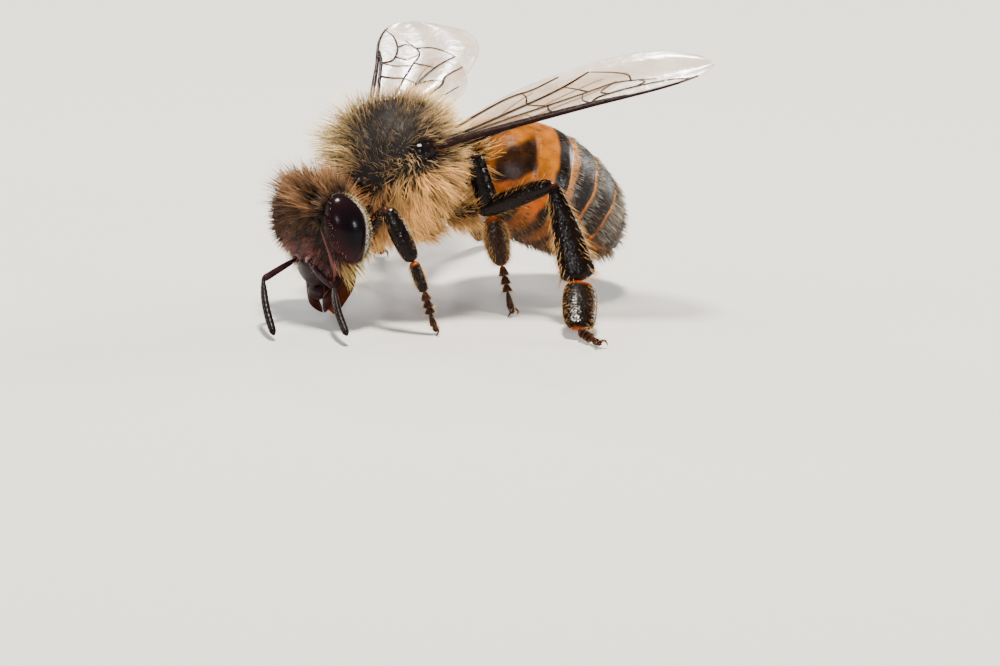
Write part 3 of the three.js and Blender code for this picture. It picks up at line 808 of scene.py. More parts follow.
def headLook(points, normal, region):
    left, forward, up = headPlace.apart(points)
    out, onRight, face = np.abs(left), left < 0, forward > 0.05
    crown = step(0.6, 1.3, up + 0.15 * wander(points, 3, 65))
    behind = step(0.1, -0.2, forward) * step(0.75, 1.0, out)
    under = step(-0.55, -0.85, up) * step(0.7, 0.3, forward) * step(0.3, 0.6, out)
    rim = np.hypot((forward - eye["forward"]) / eye["halfDepth"], (up - eye["up"]) / eye["halfHeight"])
    inEye = np.sqrt(((out - eye["out"]) / (eye["halfWidth"] + 0.06)) ** 2 + rim ** 2)  # 1 at the eye's edge
    dense = {"face": 1.7 * face, "nape": 1.0 * ~face, "guard": 1.0 + 0 * up}[region]
    dense = dense * step(0.96, 1.06, inEye + 0.04 * onRight) * (1 - 0.98 * faceShield(left, forward, up))
    dense = dense * (1 - 0.9 * step(-1.3, -1.5, up)) * (1 - 0.75 * under) * (1 - 0.35 * behind * (1 - crown))
    for side in bothSides.values():  # bare beside the eye, round the feeler's socket and on the cheek ridge
        for spot, inner, outer in (((0.95, 0.44, 1.22), 0.2, 0.32), ((0.33, 1.02, -0.5), 0.2, 0.3)):
            dense = dense * (1 - 0.98 * step(outer, inner, near(points, headPlace.at(*mirrored(side, spot)))))
        ridge = cheekRidge(side)
        bare = np.minimum(nearLine(points, ridge[0], ridge[20]), nearLine(points, ridge[20], ridge[-1]))
        dense = dense * (1 - 0.9 * step(0.15, 0.1, bare))
    peak = step(-0.5, 0.3, forward)  # the crown's hair is longest over the face
    orbit = step(1.4, 1.05, inEye) * face
    long = 0.3 + (0.18 + 0.2 * peak) * crown + 0.1 * behind + 0.34 * under + 0.1 * orbit * onRight
    aside = scaled(headPlace.way(1, 0, 0), np.sign(left))
    away = headPlace.way(0.35 * np.sign(left), (forward - eye["forward"]) * 1.6, up - eye["up"])
    lie = (normal * 0.8 + scaled(headPlace.way(-0.25, 0.35, 1.0), 0.8 * crown)
           + scaled(unit(away), 1.0 * behind * (1 - crown))
           + scaled(headPlace.way(0, -0.3, -1.0) + 0.35 * aside, 0.9 * under)
           + scaled(headPlace.way(0, 0, -1.0), 0.25 * (1 - crown)) + 0.18 * wobble(points, 2.5, 51)
           + scaled(aside, 0.5 * orbit * onRight))
    guard = region == "guard"
    # the pink-mauve on the lower face's hair is painted pink light bounced up onto it
    tint = paint(points, hairTone, "brown", ("mauve", step(0.45, -0.1, up)), ("tan", 0.75 * crown),
                 ("orange", 0.35 * guard),
                 ("dark", step(0.5, 0.2, near(points, headPlace.at(-0.5, 0.75, 1.0)))),
                 ("orange", behind * (1 - crown)), ("straw", under))
    return (dense, long * (1.5 if guard else 1.0), lie, headPlace.way(0, 0, -1.0) + 0.3 * normal,
            scaled(tint, 1 + 0.22 * wander(points, 5, 61)))


def abdomenLook(points, normal):
    t = abdomenMarks + 0 * points[..., 0]
    k, s = plateOf(t)
    high = np.append(np.sin(around), 0)[None, :] + 0 * t
    band = step(0.36, 0.22, s) * (k > 2) * step(-0.45, -0.2, high)
    front = step(0.17, 0.06, t)
    belly = step(-0.35, -0.6, high)
    dense = (0.16 + 0.14 * step(0.5, 0.8, t) + 0.9 * band + 0.7 * front + 0.25 * belly) * step(0.0, 0.03, t)
    long = 0.2 + 0.34 * front + 0.1 * belly + 0.06 * band + 0.06 * step(0.7, 0.9, t)
    lie = (normal * 0.32 + unit(abdomenWay(t)) * 0.9 + scaled(normal, 0.5 * front)
           + 0.14 * wobble(points, 3, 71))
    tint = paint(points, hairTone, "tan", ("ash", 0.75 * band), ("buff", front))
    return dense, long, lie, down + 0 * normal, scaled(tint, 1 + 0.2 * wander(points, 5, 81))


thoraxCoat = {"top": "back", "crest": "back", "left": "side", "right": "side", "breast": "side"}
headCoat = {"face": "head", "nape": "head", "guard": "guard"}
for region, kind in thoraxCoat.items():
    coatPiece("thoraxCoat_" + region, rings["thorax"], thoraxLook, kind, region)
for region, kind in headCoat.items():
    coatPiece("headCoat_" + region, rings["head"], headLook, kind, region)
coatPiece("abdomenCoat", rings["abdomen"], abdomenLook, "abdomen")
print("coat made")


def eyeMaterial():
    # black, dark red towards the lower edge, and a painted highlight: a pale speckled band along the rear
    # edge where light glints off the rim
    material, make, shader = newMaterial("eyeLens")
    lenses = make.cells(make.objectPlace(), 26000.0)
    colour = make.blend(make.attribute("glow"), (0.003, 0.002, 0.003, 1), (0.019, 0.0045, 0.006, 1))
    share = make.maths("MULTIPLY", make.between(lenses, 1.0, 0.1, 0.15, 0.5), make.attribute("rim"))
    feed(shader, {"Base Color": make.blend(share, colour, (0.92, 0.82, 0.64, 1)),
                  "Normal": make.relief(lenses, 0.000003, 0.3),
                  "Roughness": 0.18, "Specular IOR Level": 0.055})
    return material


eyeFinish = eyeMaterial()
eyeGrid = {"rows": 56, "sides": 64}


def makeEye(sideName, side):
    t = (1 - np.cos(np.linspace(0.06, np.pi - 0.06, eyeGrid["rows"]))) / 2
    rise = 2 * t - 1
    half = np.sqrt(1 - rise ** 2)
    angle = np.arange(eyeGrid["sides"]) / eyeGrid["sides"] * 2 * np.pi
    out = eye["out"] - 0.12 * rise ** 2
    left = side * (out[:, None] + eye["halfWidth"] * half[:, None] * np.cos(angle))
    depth = eye["halfDepth"] * half * (1.06 - 0.12 * (1 - t))
    forward = eye["forward"] + depth[:, None] * np.sin(angle)
    up = eye["up"] + rise[:, None] * eye["halfHeight"] + 0 * left
    points, faces = closedLoft(headPlace.at(left, forward, up))
    _, forward, up = headPlace.apart(points)
    edge = np.hypot((forward - eye["forward"]) / eye["halfDepth"], (up - eye["up"]) / eye["halfHeight"])
    glow = step(0.3, 0.95, edge) * (0.25 + 0.75 * step(0.7, -0.3, up))
    turn = np.pad(np.tile(np.degrees(angle), len(t)), 1)  # 0 is straight out, 270 is the rear
    high = np.concatenate([[-1], np.repeat(rise, eyeGrid["sides"]), [1]])
    lower = turn - 26 * step(0.45, -0.75, high)  # the band swings outwards as it goes down
    # rim marks the painted highlight, the pale speckled glint along the eye's rear edge
    rim = step(295, 301, lower) * step(321, 313, lower) * step(-0.99, -0.85, high) * step(0.93, 0.5, high)
    addPiece(f"eye_{sideName}_lens", (points, faces), eyeFinish, "eye", "eye_" + sideName, glow=glow, rim=rim)
    # pale hairs stand along the rear edge and low down, brown ones along the front edge
    out = unit(points - headPlace.at(side * eye["out"], eye["forward"], eye["up"]))
    lowest = step(-0.55, -0.8, high) * step(355, 330, turn) * (turn > 180)
    foremost = step(48, 66, turn) * step(150, 130, turn)
    closeFront, longFront = (0.5, -0.03) if side > 0 else (1.2, 0.16)
    rearEdge = step(285, 295, turn) * step(318, 308, turn)
    look = hairLook(
        turn.shape, np.maximum(rearEdge, 0.7 * lowest) + closeFront * foremost,
        0.1 + 0.14 * lowest + longFront * foremost,
        out + headPlace.way(0, -0.5 + 0.9 * foremost, -0.5 + 0.5 * foremost), out,
        paint(points, hairTone, "cream", ("tan", foremost)),
        np.stack([turn / 400, 0.5 + 0.45 * high, 0 * turn], -1))
    growHair("eyeHair_" + sideName, points, faces, look, hairFinish, "eye", "eye")


antennaPose = {  # on the head: left, forward, up of the base, the elbow and the tip
    "left": ((0.33, 1.06, -0.51), (1.4, 1.14, -1.29), (2.8, 2.0, -2.36)),
    "right": ((-0.33, 1.06, -0.51), (0.0, 2.6, -0.5), (1.4, 3.6, -1.75)),
}
antenna = {"scape": 0.095, "flagellum": 0.115, "links": 11, "sides": 20}


def makeAntenna(sideName):
    base, elbow, tip = (headPlace.at(*place) for place in antennaPose[sideName])
    u = np.linspace(0, 1, 40)
    path = base + scaled(elbow - base, u) + scaled(headPlace.way(0, 0.07, 0), np.sin(np.pi * u))
    scape = through((0, 0.9), (0.05, 1.2), (0.1, 0.7), (0.2, 0.9), (0.5, 1.05), (0.85, 1.15),
                    (0.96, 0.95), (1, 0.5))
    shape = tube(path, antenna["scape"] * scape(u), antenna["sides"])
    addPiece(f"antenna_{sideName}_scapeShell", shape, limbFinish, "shell", f"antenna_{sideName}_scape",
             tint=plainTint(shape[0], "#221012"))
    # the flagellum's links are narrow where they join
    u = np.linspace(0, 1, 12 * antenna["links"] + 1)
    link = (u * antenna["links"]) % 1
    notch = 1 - 0.09 * (bump(link, 0, 0.08) + bump(link, 1, 0.08))
    whole = through((0, 0.5), (0.06, 0.62), (0.2, 0.9), (0.4, 1), (0.93, 0.95), (1, 0.4))
    path = elbow + scaled(tip - elbow, u) + scaled(headPlace.way(0, 0.08, 0.02), np.sin(np.pi * u))
    shape = tube(path, antenna["flagellum"] * notch * whole(u), antenna["sides"])
    addPiece(f"antenna_{sideName}_links", shape, antennaFinish, "shell", f"antenna_{sideName}_flagellum",
             tint=plainTint(shape[0], "#140d0c"))


# Tubes of the mouth: stations of (left, forward, up), radii, colours of root and tip, thickness over
# width, and the way the wide side faces.
mouthForm = {
    "jaw": (((0.8, 0.42, -1.22), (0.72, 0.74, -1.55), (0.4, 0.97, -1.92), (0.04, 1.0, -2.32)),
            ((0, 0.14), (0.12, 0.23), (0.4, 0.17), (0.68, 0.21), (0.88, 0.13), (1, 0.02)),
            ("#1c090b", "#2e0f08"), 0.5, (0, 1, 0.5)),
    "maxilla": (((0.5, -0.05, -1.2), (0.42, 0.2, -1.7), (0.2, 0.45, -2.15), (0.05, 0.6, -2.5)),
                ((0, 0.2), (0.25, 0.3), (0.6, 0.22), (0.85, 0.12), (1, 0.03)),
                ("#1e0b08", "#52220f"), 0.45, (1, 0.5, 0)),
    "tongue": (((0, 0.2, -1.3), (0, 0.56, -1.75), (0, 0.7, -2.2), (0, 0.66, -2.54)),
               ((0, 0.3), (0.25, 0.36), (0.6, 0.3), (0.85, 0.14), (1, 0.03)),
               ("#140807", "#7a3a14"), 0.5, (0, 1, 0.2)),
    "lip": (((0, 0.9, -1.45), (0, 1.04, -1.65), (0, 1.06, -1.88)),
            ((0, 0.34), (0.3, 0.42), (0.8, 0.34), (1, 0.1)),
            ("#1a090c", "#200c0a"), 0.14, (0, 1, 0.2)),
}


def mouthTube(name, kind, side, *nodes):
    stations, radii, colours, flat, wideTo = mouthForm[kind]
    u, sides = np.linspace(0, 1, 40), 24
    path = headPlace.at(*evenCurve([mirrored(side, station) for station in stations], u).T)
    shape = tube(path, through(*radii)(u), sides, headPlace.way(*wideTo), flat)
    along = np.concatenate([[0], np.repeat(u, sides), [1]])
    tint = paint(shape[0], palette(root=colours[0], tip=colours[1]), "root", ("tip", along))
    addPiece(name, shape, mouthFinish, "mouth", *nodes, tint=opaque(tint))


def makeFaceBeads(sideName, side):
    # the feeler's socket and the cheek ridge; the socket's pale tint is a painted glint, and the ridge's
    # pinkish tint is plum-brown cuticle with a painted highlight
    bead = dome(headPlace.at(side * 0.33, 1.06, -0.5), headPlace.way(side * 0.2, 1, -0.2), 0.12, 0.13, 20, 8)
    radii = 0.058 * through((0, 0.1), (0.15, 0.35), (0.5, 0.6), (0.8, 1), (1, 0.3))(np.linspace(0, 1, 40))
    ridge = tube(cheekRidge(side), radii, 10)
    # painted highlight: a pale glint colour on the socket and a pinkish streak along the ridge
    tint = np.concatenate([plainTint(bead[0], "#96706a"), plainTint(ridge[0], "#6c423e")])
    addPiece(f"face_{sideName}_beads", joined([bead, ridge]), mouthFinish, "mouth", tint=tint)


def makeOcelli():
    # three simple eyes on the crown
    spots = ((0, 0.42, 1.52), (0.26, 0.2, 1.56), (-0.26, 0.2, 1.56))
    points, faces = joined(
        [dome(headPlace.at(*spot), headPlace.way(spot[0], 0.5, 0.9), 0.13, 0.12) for spot in spots])
    plain = np.zeros(len(points))
    addPiece("ocelli", (points, faces), eyeFinish, "eye", glow=plain, rim=plain)


for sideName, side in bothSides.items():
    makeEye(sideName, side)
    makeAntenna(sideName)
makeOcelli()
for sideName, side in bothSides.items():
    mouthTube(f"mandible_{sideName}_jaw", "jaw", side, f"mandible_{sideName}")
    mouthTube(f"maxilla_{sideName}", "maxilla", side)
    makeFaceBeads(sideName, side)
mouthTube("proboscis_tongue", "tongue", 1, "proboscis")
mouthTube("lipPlate", "lip", 1)
print("head parts made")


legForm = {  # thickness over width, then (t, radius) along each length
    "coxa": (1.0, (0, 0.3), (0.2, 0.4), (0.55, 0.36), (0.72, 0.2), (0.85, 0.26), (1, 0.16)),
    "fore femur": (0.85, (0, 0.12), (0.06, 0.2), (0.3, 0.27), (0.6, 0.25), (0.9, 0.2), (1, 0.12)),
    "mid femur": (0.85, (0, 0.12), (0.06, 0.2), (0.3, 0.27), (0.6, 0.26), (0.9, 0.21), (1, 0.12)),
    "hind femur": (0.85, (0, 0.13), (0.06, 0.22), (0.3, 0.31), (0.6, 0.3), (0.9, 0.24), (1, 0.13)),
    "fore tibia": (0.75, (0, 0.12), (0.08, 0.22), (0.4, 0.3), (0.75, 0.29), (0.94, 0.22), (1, 0.13)),
    "mid tibia": (0.75, (0, 0.14), (0.08, 0.25), (0.4, 0.31), (0.8, 0.35), (0.95, 0.3), (1, 0.16)),
    "hind tibia": (0.42, (0, 0.13), (0.06, 0.2), (0.2, 0.28), (0.45, 0.42), (0.75, 0.52), (0.94, 0.53),
                   (1, 0.34)),
    "fore basitarsus": (1.0, (0, 0.09), (0.1, 0.16), (0.5, 0.18), (0.9, 0.15), (1, 0.1)),
    "mid basitarsus": (0.5, (0, 0.12), (0.12, 0.3), (0.45, 0.39), (0.85, 0.28), (1, 0.14)),
    "hind basitarsus": (0.38, (0, 0.16), (0.05, 0.36), (0.2, 0.5), (0.5, 0.54), (0.85, 0.46), (0.96, 0.3),
                        (1, 0.14)),
}
legColour = {"all": "#0f0907", "mid basitarsus": "#22130b", "fore femur": "#1e0c09"}
jointColour = {"all": ("#3a1a0c", 0.07), "basitarsus": ("#9a4412", 0.14), "tarsus": ("#6a3814", 0.07)}
foot = {"links": (0.24, 0.2, 0.18, 0.38), "radius": 0.15, "lastRadius": 0.72, "clawRoom": 0.24,
        "colour": "#2c160c"}
segmentNames = ("coxa", "femur", "tibia", "basitarsus", "tarsus")


def broadside(segment, side):
    return np.array((side, 0.4 if segment == "femur" else -0.5, 0.3))


def stretch(start, end, form, wideTo, rows=40, sides=24):
    # one length of a leg, rounded at its ends
    u = (1 - np.cos(np.linspace(0.0, np.pi, rows))) / 2
    radii = through(*form[1:])(u) * np.sqrt(np.clip(1 - (2 * u - 1) ** 24, 0.02, 1))
    return tube(start + scaled(end - start, u), radii, sides, wideTo, form[0], (start, end))


def limbTint(points, start, end, dark, joint, reach):
    # dark shell, paler and redder where it joins; reach is how far that goes down from its start
    u = shareAlong(points, start, end)
    nearJoint = np.maximum(step(reach, 0.0, u), step(0.95, 1.0, u))
    return opaque(paint(points, palette(dark=dark, joint=joint), "dark", ("joint", nearJoint)))


def clawParts(ankle, way):
    # two hooked claws and the pad between them
    way = unit(way)
    across = unit(np.cross(way, (0, 0, 1.0)) + 1e-6)
    lift = np.cross(across, way)
    lift = -lift if lift[2] < 0 else lift
    u = np.linspace(0, 1, 14)[:, None]
    paths = [(ankle + across * turn * (0.05 + 0.16 * np.sin(u * 1.6)) + way * (0.26 * u)
              + lift * (0.12 * np.sin(np.pi * u) - 0.02)) for turn in (1, -1)]
    claws = [tube(path, 0.045 * (1 - u[:, 0]) ** 0.6 + 0.006, 8) for path in paths]
    u = np.linspace(0, 1, 10)
    pad = tube(ankle + scaled(way, 0.2 * u) + lift * 0.02, 0.09 * np.sin(np.pi * (0.15 + 0.8 * u)), 12)
    return claws + [pad]


def footParts(start, end):
    # three short heart-shaped links, then the long last one with its claws
    ankle = end - unit(end - start) * foot["clawRoom"]
    parts, place = [], start
    for i, share in enumerate(foot["links"]):
        nextPlace = place + (ankle - start) * share
        radius = foot["radius"] * (foot["lastRadius"] if i == len(foot["links"]) - 1 else 1.0)
        form = (1.0, (0, radius * 0.4), (0.2, radius * 0.6), (0.75, radius), (0.95, radius),
                (1, radius * 0.6))
        parts.append(stretch(place, nextPlace, form, (0.13, 0.31, 0.94), 14, 16))
        place = nextPlace
    return parts + clawParts(ankle, end - start)


def makeLeg(legName, sideName):
    joints = legJoints(legName, sideName)
    shells = []
    for segment, start, end in zip(segmentNames, joints, joints[1:]):
        name, kind = f"leg_{legName}_{sideName}_{segment}", f"{legName} {segment}"
        joint = jointColour.get(segment, jointColour["all"])
        if segment == "tarsus":
            shape, dark = joined(footParts(start, end)), foot["colour"]
        else:
            form = legForm["coxa" if segment == "coxa" else kind]
            shape = stretch(start, end, form, broadside(segment, bothSides[sideName]))
            dark = legColour.get(kind, legColour["all"])
        addPiece(name + "Shell", shape, limbFinish, "shell", name,
                 tint=limbTint(shape[0], start, end, dark, *joint))
        shells.append((segment, *shape, start, end))
    return shells


legShells = {(legName, sideName): makeLeg(legName, sideName) for legName in legPose for sideName in bothSides}

bristleForm = {  # how close, how long, and how far they stand off the leg
    "coxa": (1.3, 0.42, 0.7), "femur": (0.14, 0.2, 0.5), "tibia": (0.16, 0.14, 0.35),
    "basitarsus": (0.7, 0.14, 0.4), "tarsus": (0.6, 0.12, 0.6),
}
bristleRoot = 0.97  # how far out on the shell the bristles start


def legBristles(legName, sideName):
    # bristles along the leg, lying towards the foot
    guides, looks = [], []
    for i, (segment, points, faces, start, end) in enumerate(legShells[legName, sideName]):
        way = unit(end - start)
        u = np.clip(shareAlong(points, start, end), 0, 1)
        axis = start + scaled(end - start, u)
        out = unit(points - axis)
        close, length, stand = bristleForm[segment]
        broad = unit(broadside(segment, bothSides[sideName]))
        edge = step(0.6, 0.95, np.abs(out @ unit(np.cross(way, broad))))
        if segment == "basitarsus":
            bareOutside = 0.4 + 0.6 * step(0.2, -0.2, out @ broad)
            close = close * {"fore": 1, "mid": 1.5, "hind": bareOutside}[legName]
        dense = close * (0.4 + 0.9 * edge) * np.ones(len(out))
        long = length * (1 + 0.35 * edge)
        if legName == "hind" and segment == "tibia":  # the pollen basket: bare outside, long hairs round it
            dense = 0.3 * (1 - step(-0.1, 0.3, out @ broad)) + 0.11 * edge
            long = 0.15 + 0.25 * edge
        dense = dense * step(0.01, 0.06, u) * step(1.0, 0.95, u)
        lie = out * (stand + 0.3 * edge)[:, None] + way * 0.75
        tint = paint(out, hairTone, "dark", ("gold", 1.0 if segment == "coxa" else 0.1 + 0.8 * edge))
        spot = (0.02 + 0.19 * (i + u), 0.5 + 0.45 * np.arctan2(out[:, 0], out[:, 1]) / np.pi, 0 * u)
        curl = np.tile(way, (len(out), 1))
        looks.append(hairLook(u.shape, dense, long, lie, curl, tint, np.stack(spot, -1)))
        guides.append((axis + (points - axis) * bristleRoot, faces))
    look = {key: np.concatenate([part[key] for part in looks]) for key in looks[0]}
    kind = "hindLeg" if legName == "hind" else "leg"
    growHair(f"bristles_{legName}_{sideName}", *joined(guides), look, bristleFinish, "shell", kind)


for legName, sideName in legShells:
    legBristles(legName, sideName)
print("legs made")


wingPose = {  # sweep back, raise and tilt in degrees
    "left": {"fore": (67, 16.5, 8.5), "hind": (79, 19, 8)},
    "right": {"fore": (32.5, 7.5, 6), "hind": (37, 7.5, 6)},
}
wingForm = {
    "fore": {
        "length": 9.15, "chord": 3.15, "hinge": (1.66, -0.3, 0.9),
        "wide": through((0, 0.16), (0.15, 0.5), (0.35, 0.85), (0.6, 1.02), (0.75, 1.01), (0.88, 0.84),
                        (0.96, 0.5), (1, 0.12)),
        "frontEdge": through((0, 0.12), (0.2, 0.14), (0.5, 0.12), (0.8, 0.12), (0.94, 0), (1, -0.32)),
        "veins": {  # thickness, then (along, across from the front edge) as shares
            "costa": (0.098, (0.0, 0.12), (0.1, 0.05), (0.35, 0.02), (0.62, 0.015)),
            "radius": (0.07, (0.0, 0.3), (0.1, 0.16), (0.35, 0.08), (0.6, 0.05), (0.66, 0.015)),
            "edge": (0.045, (0.6, 0.012), (0.8, 0.005), (0.93, 0.03)),
            "stigma": (0.05, (0.6, 0.04), (0.66, 0.035), (0.7, 0.02)),
            "median": (0.055, (0.02, 0.45), (0.15, 0.36), (0.3, 0.33), (0.42, 0.33)),
            "basal": (0.032, (0.43, 0.07), (0.42, 0.2), (0.42, 0.33), (0.36, 0.52)),
            "cubital": (0.048, (0.02, 0.5), (0.15, 0.47), (0.36, 0.52), (0.5, 0.62), (0.6, 0.78)),
            "anal": (0.042, (0.02, 0.7), (0.15, 0.82), (0.3, 0.86), (0.4, 0.8), (0.5, 0.9)),
            "cell": (0.034, (0.56, 0.06), (0.6, 0.17), (0.72, 0.2), (0.84, 0.15), (0.9, 0.05)),
            "submarginal": (0.028, (0.42, 0.33), (0.55, 0.37), (0.66, 0.42), (0.74, 0.36), (0.8, 0.28)),
            "crossOne": (0.026, (0.56, 0.06), (0.54, 0.2), (0.55, 0.37)),
            "crossTwo": (0.026, (0.63, 0.18), (0.61, 0.3), (0.66, 0.42)),
            "crossThree": (0.026, (0.73, 0.2), (0.76, 0.28), (0.74, 0.36)),
            "recurrentOne": (0.026, (0.57, 0.38), (0.54, 0.5), (0.5, 0.62)),
            "recurrentTwo": (0.026, (0.72, 0.38), (0.71, 0.55), (0.6, 0.78)),
            "crossLow": (0.024, (0.36, 0.52), (0.37, 0.68), (0.36, 0.82)),
        },
    },
    "hind": {
        "length": 6.4, "chord": 2.0, "hinge": (1.6, -1.0, 0.6),
        "wide": through((0, 0.2), (0.15, 0.6), (0.4, 0.95), (0.6, 1), (0.8, 0.82), (0.94, 0.5), (1, 0.12)),
        "frontEdge": through((0, 0.15), (0.3, 0.2), (0.7, 0.15), (0.95, -0.2), (1, -0.5)),
        "veins": {
            "costa": (0.045, (0.0, 0.15), (0.15, 0.06), (0.4, 0.03), (0.6, 0.03)),
            "radial": (0.03, (0.3, 0.05), (0.55, 0.18), (0.8, 0.2), (0.92, 0.3)),
            "median": (0.028, (0.02, 0.35), (0.2, 0.32), (0.42, 0.36), (0.7, 0.5), (0.88, 0.6)),
            "cross": (0.024, (0.45, 0.12), (0.43, 0.36), (0.3, 0.6)),
            "cubital": (0.028, (0.02, 0.5), (0.15, 0.52), (0.3, 0.6), (0.55, 0.88)),
        },
    },
}
wingGrid = {"rows": 90, "columns": 36, "halfThickness": 0.012, "veinSteps": 36, "veinSides": 10}
veinFade = through((0, 1), (0.35, 0.8), (0.75, 0.65), (1, 0.5))


def membraneMaterial():
    # a thin smoky film with a rippled gloss
    material, make, shader = newMaterial("wingMembrane")
    place = make.objectPlace()
    smoke = make.noise(place, 900.0, 3.0)
    feed(shader, {
        "Base Color": make.blend(smoke, (*linear("#d8b890"), 1), (*linear("#7e5428"), 1)),
        "Alpha": make.between(smoke, 0.2, 0.36, 0.3, 0.7),
        "Normal": make.relief(make.noise(place, 2200.0, 2.0), 0.00004, 0.5),
        "Roughness": 0.16, "Coat Weight": 0.6, "Coat Roughness": 0.1})
    return material


membraneFinish = membraneMaterial()
veinFinish = shellMaterial("wingVein", 0.26, 0.1, 0.06, blotch=0.4, colour="#190805")


def wingPlace(kind, sideName):
    # a function from shares along and across the wing to places
    form, side = wingForm[kind], bothSides[sideName]
    sweep, lifted, tilt = wingPose[sideName][kind]
    out = toward(side, sweep, -lifted)
    sweep, tilt = math.radians(sweep), math.radians(tilt)
    flatRear = np.array((-side * math.sin(sweep), math.cos(sweep), 0))
    level = unit(np.cross(out, flatRear))
    level = level if level[2] > 0 else -level
    back = flatRear * math.cos(tilt) + level * math.sin(tilt)
    lift = unit(level - back * (level @ back))
    root = thoraxPlace.at(*mirrored(side, form["hinge"]))
    half = form["chord"] / 2

    def place(t, q, height=0.0):
        t, q = np.broadcast_arrays(np.asarray(t, float), np.asarray(q, float))
        front, wide = form["frontEdge"](t) * half, form["wide"](t) * half * 2
        pleat = 0.05 * np.sin(q * 9 + 1.2) * step(0, 0.2, t) * (1 - 0.6 * t) - 0.10 * (t * t)
        return (root + scaled(out, t * form["length"]) + scaled(back, q * wide - front)
                + scaled(lift, pleat + height))

    return place


def makeWing(kind, sideName):
    place = wingPlace(kind, sideName)
    rows, columns, thickness = wingGrid["rows"], wingGrid["columns"], wingGrid["halfThickness"]
    t, q = np.meshgrid(np.linspace(0.0, 0.997, rows), np.linspace(0, 1, columns), indexing="ij")
    points = np.concatenate([place(t, q, height).reshape(-1, 3) for height in (thickness, -thickness)])
    grid = np.arange(rows * columns).reshape(rows, columns)
    faces = []
    for a in grid[:-1, :-1].ravel().tolist():
        quad = (a, a + 1, a + columns + 1, a + columns)
        faces += [quad, tuple(grid.size + i for i in quad[::-1])]
    rim = [int(i) for i in (*grid[0], *grid[1:, -1], *grid[-1, -2::-1], *grid[-2:0:-1, 0])]
    faces += [(a, a + grid.size, b + grid.size, b) for a, b in zip(rim, rim[1:] + rim[:1])]
    addPiece(f"{kind}wing_{sideName}_membrane", (points, outward(points, faces)), membraneFinish, "wing",
             f"{kind}wing_{sideName}")
    u = np.linspace(0, 1, wingGrid["veinSteps"])
    veins = []
    for thick, *stations in wingForm[kind]["veins"].values():
        along, across = evenCurve(stations, u).T
        path = place(np.maximum(along, 0), across)
        veins.append(tube(path, (0.008 + 1.12 * thick) * veinFade(u), wingGrid["veinSides"]))
    addPiece(f"{kind}wing_{sideName}_veins", joined(veins), veinFinish, "wing")


wingRoot = (  # the cap, its plates and the lobe beside the neck: place, way, radius, height, colour
    ((1.74, 0.08, 0.84), (1, 0.3, 0.2), 0.35, 0.31, "#0c0808"),
    ((1.78, -0.2, 0.88), (1, 0.0, 0.25), 0.28, 0.25, "#100908"),
    ((1.84, -0.42, 0.9), (1, -0.3, 0.4), 0.16, 0.14, "#34140a"),
    ((1.7, -0.78, 0.78), (1, -0.3, 0.2), 0.2, 0.16, "#3a180c"),
    ((1.04, 1.7, 0.08), (0.8, 0.7, 0.2), 0.24, 0.22, "#180e0a"))


def makeTegula(sideName, side):
    parts = [dome(thoraxPlace.at(*mirrored(side, place)), thoraxPlace.way(*mirrored(side, way)),
                  radius, height, 24, 9) for place, way, radius, height, _ in wingRoot]
    tint = np.concatenate([plainTint(points, row[-1]) for (points, _), row in zip(parts, wingRoot)])
    addPiece(f"tegula_{sideName}_cap", joined(parts), limbFinish, "shell", f"tegula_{sideName}", tint=tint)


for sideName, side in bothSides.items():
    makeTegula(sideName, side)
    for kind in wingForm:
        makeWing(kind, sideName)
print("wings made")


view = {"azimuth": 58.0, "elevation": 15.5, "roll": 3.0, "distance": 200.0, "pixelsPerMillimetre": 32.7}
picture = {"width": 1000, "height": 666, "thoraxX": 395, "thoraxY": 165}  # where the thorax's middle shows
floor = {"reach": 400.0, "back": 240.0, "bend": 120.0, "rise": 300.0, "drop": 0.002,
         "colour": (0.5, 0.48, 0.455, 1), "roughness": 0.7}


def makeFloor():
    # a floor that curves up behind the bee
    material, _, shader = newMaterial("paleFloor")
    feed(shader, {"Base Color": floor["colour"], "Roughness": floor["roughness"]})
    reach, back, bend = floor["reach"], floor["back"], floor["bend"]
    profile = [(-reach, 0.0), (back, 0.0)]
    profile += [(back + bend * math.sin(a), bend * (1 - math.cos(a))) for a in np.linspace(0.1, 1.57, 16)]
    profile += [(back + bend, bend + floor["rise"])]
    points = np.array([(x, y, z) for y, z in profile for x in (-reach * 2, reach * 2)])
    faces = [(2 * i, 2 * i + 1, 2 * i + 3, 2 * i + 2) for i in range(len(profile) - 1)]
    points = points @ np.array(Matrix.Rotation(math.radians(view["azimuth"]), 3, "Z")).T
    addMesh("floor", points - (0, 0, floor["drop"]), faces, material, {})


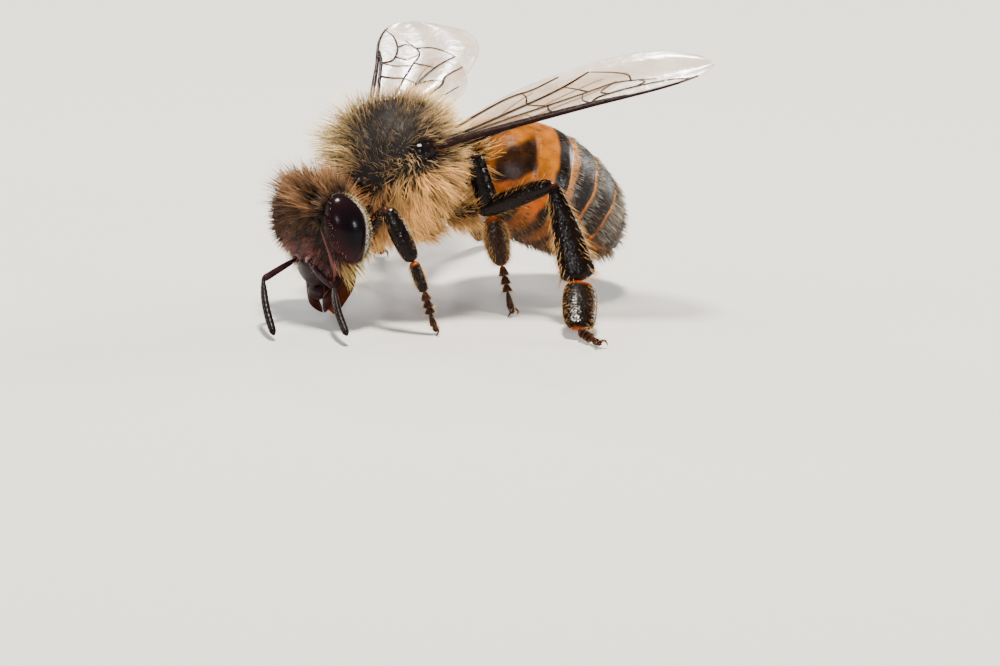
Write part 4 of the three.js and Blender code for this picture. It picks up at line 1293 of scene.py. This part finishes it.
def makeCamera():
    a, e, roll = (math.radians(view[key]) for key in ("azimuth", "elevation", "roll"))
    back = np.array((math.sin(a) * math.cos(e), -math.cos(a) * math.cos(e), math.sin(e)))
    level = np.array((math.cos(a), math.sin(a), 0))
    right = math.cos(roll) * level + math.sin(roll) * np.cross(back, level)
    up = np.cross(back, right)
    scale = view["pixelsPerMillimetre"]
    x = (picture["thoraxX"] - picture["width"] / 2) / scale
    y = (picture["height"] / 2 - picture["thoraxY"]) / scale
    place = thoraxPlace.centre + back * view["distance"] - right * x - up * y
    data = bpy.data.cameras.new("camera")
    data.sensor_width = 36
    data.lens = data.sensor_width * scale * view["distance"] / picture["width"]
    data.clip_start, data.clip_end = 0.01, 10
    data.dof.use_dof = False
    matrix = np.eye(4)
    matrix[:3] = np.stack([right, up, back, place * millimetre], 1)
    camera = addObject("camera", data)
    camera.matrix_world = Matrix(matrix.tolist())
    bpy.context.scene.camera = camera
    return right, up, back


lights = {  # way from the thorax as (right, up, back), distance, size, power, colour
    "key": ((0.05, 1.0, 0.32), 160, 26, 1.0, (1.0, 0.94, 0.84)),
    "fill": ((0.02, 0.12, 1.0), 240, 50, 0.26, (0.88, 0.94, 1.0)),
    "sideGlint": ((1.1, 0.05, 0.6), 170, 12, 0.13, (0.9, 0.96, 1.0)),
    "leftFill": ((-0.9, 0.4, 0.3), 170, 84, 0.16, (0.92, 0.96, 1.0)),
    "leftRim": ((-1.0, 0.7, -0.6), 160, 44, 0.2, (0.95, 0.97, 1.0)),
    "wingGleam": (None, 170, 10, 0.06, (1.0, 1.0, 1.0)),  # its way is found from the wing
    "rightRim": ((0.9, 0.5, -0.6), 160, 60, 0.4, (1.0, 0.97, 0.92)),
}
worldGlow = {"Color": (0.92, 0.94, 1.0, 1), "Strength": 0.14}


def wingMirror(back):
    # the way from which the right forewing mirrors light to the camera
    place = wingPlace("fore", "right")
    spot, along, across = place(0.62, 0.35), place(0.66, 0.35), place(0.62, 0.4)
    level = unit(np.cross(along - spot, across - spot))
    return 2 * (level @ back) * level - back


def makeLights(right, up, back):
    for name, (parts, distance, size, power, colour) in lights.items():
        way = unit(wingMirror(back) if parts is None else parts[0] * right + parts[1] * up + parts[2] * back)
        data = bpy.data.lights.new(name, "AREA")
        data.shape, data.size, data.energy, data.color = "DISK", size * millimetre, power, colour
        light = addObject(name, data)
        light.location = (thoraxPlace.centre + way * distance) * millimetre
        light.rotation_mode = "QUATERNION"
        light.rotation_quaternion = Vector(way).to_track_quat("Z", "Y")
    world = bpy.data.worlds.new("studio")
    world.use_nodes = True
    feed(world.node_tree.nodes["Background"], worldGlow)
    bpy.context.scene.world = world


makeFloor()
makeLights(*makeCamera())
print("stage made")
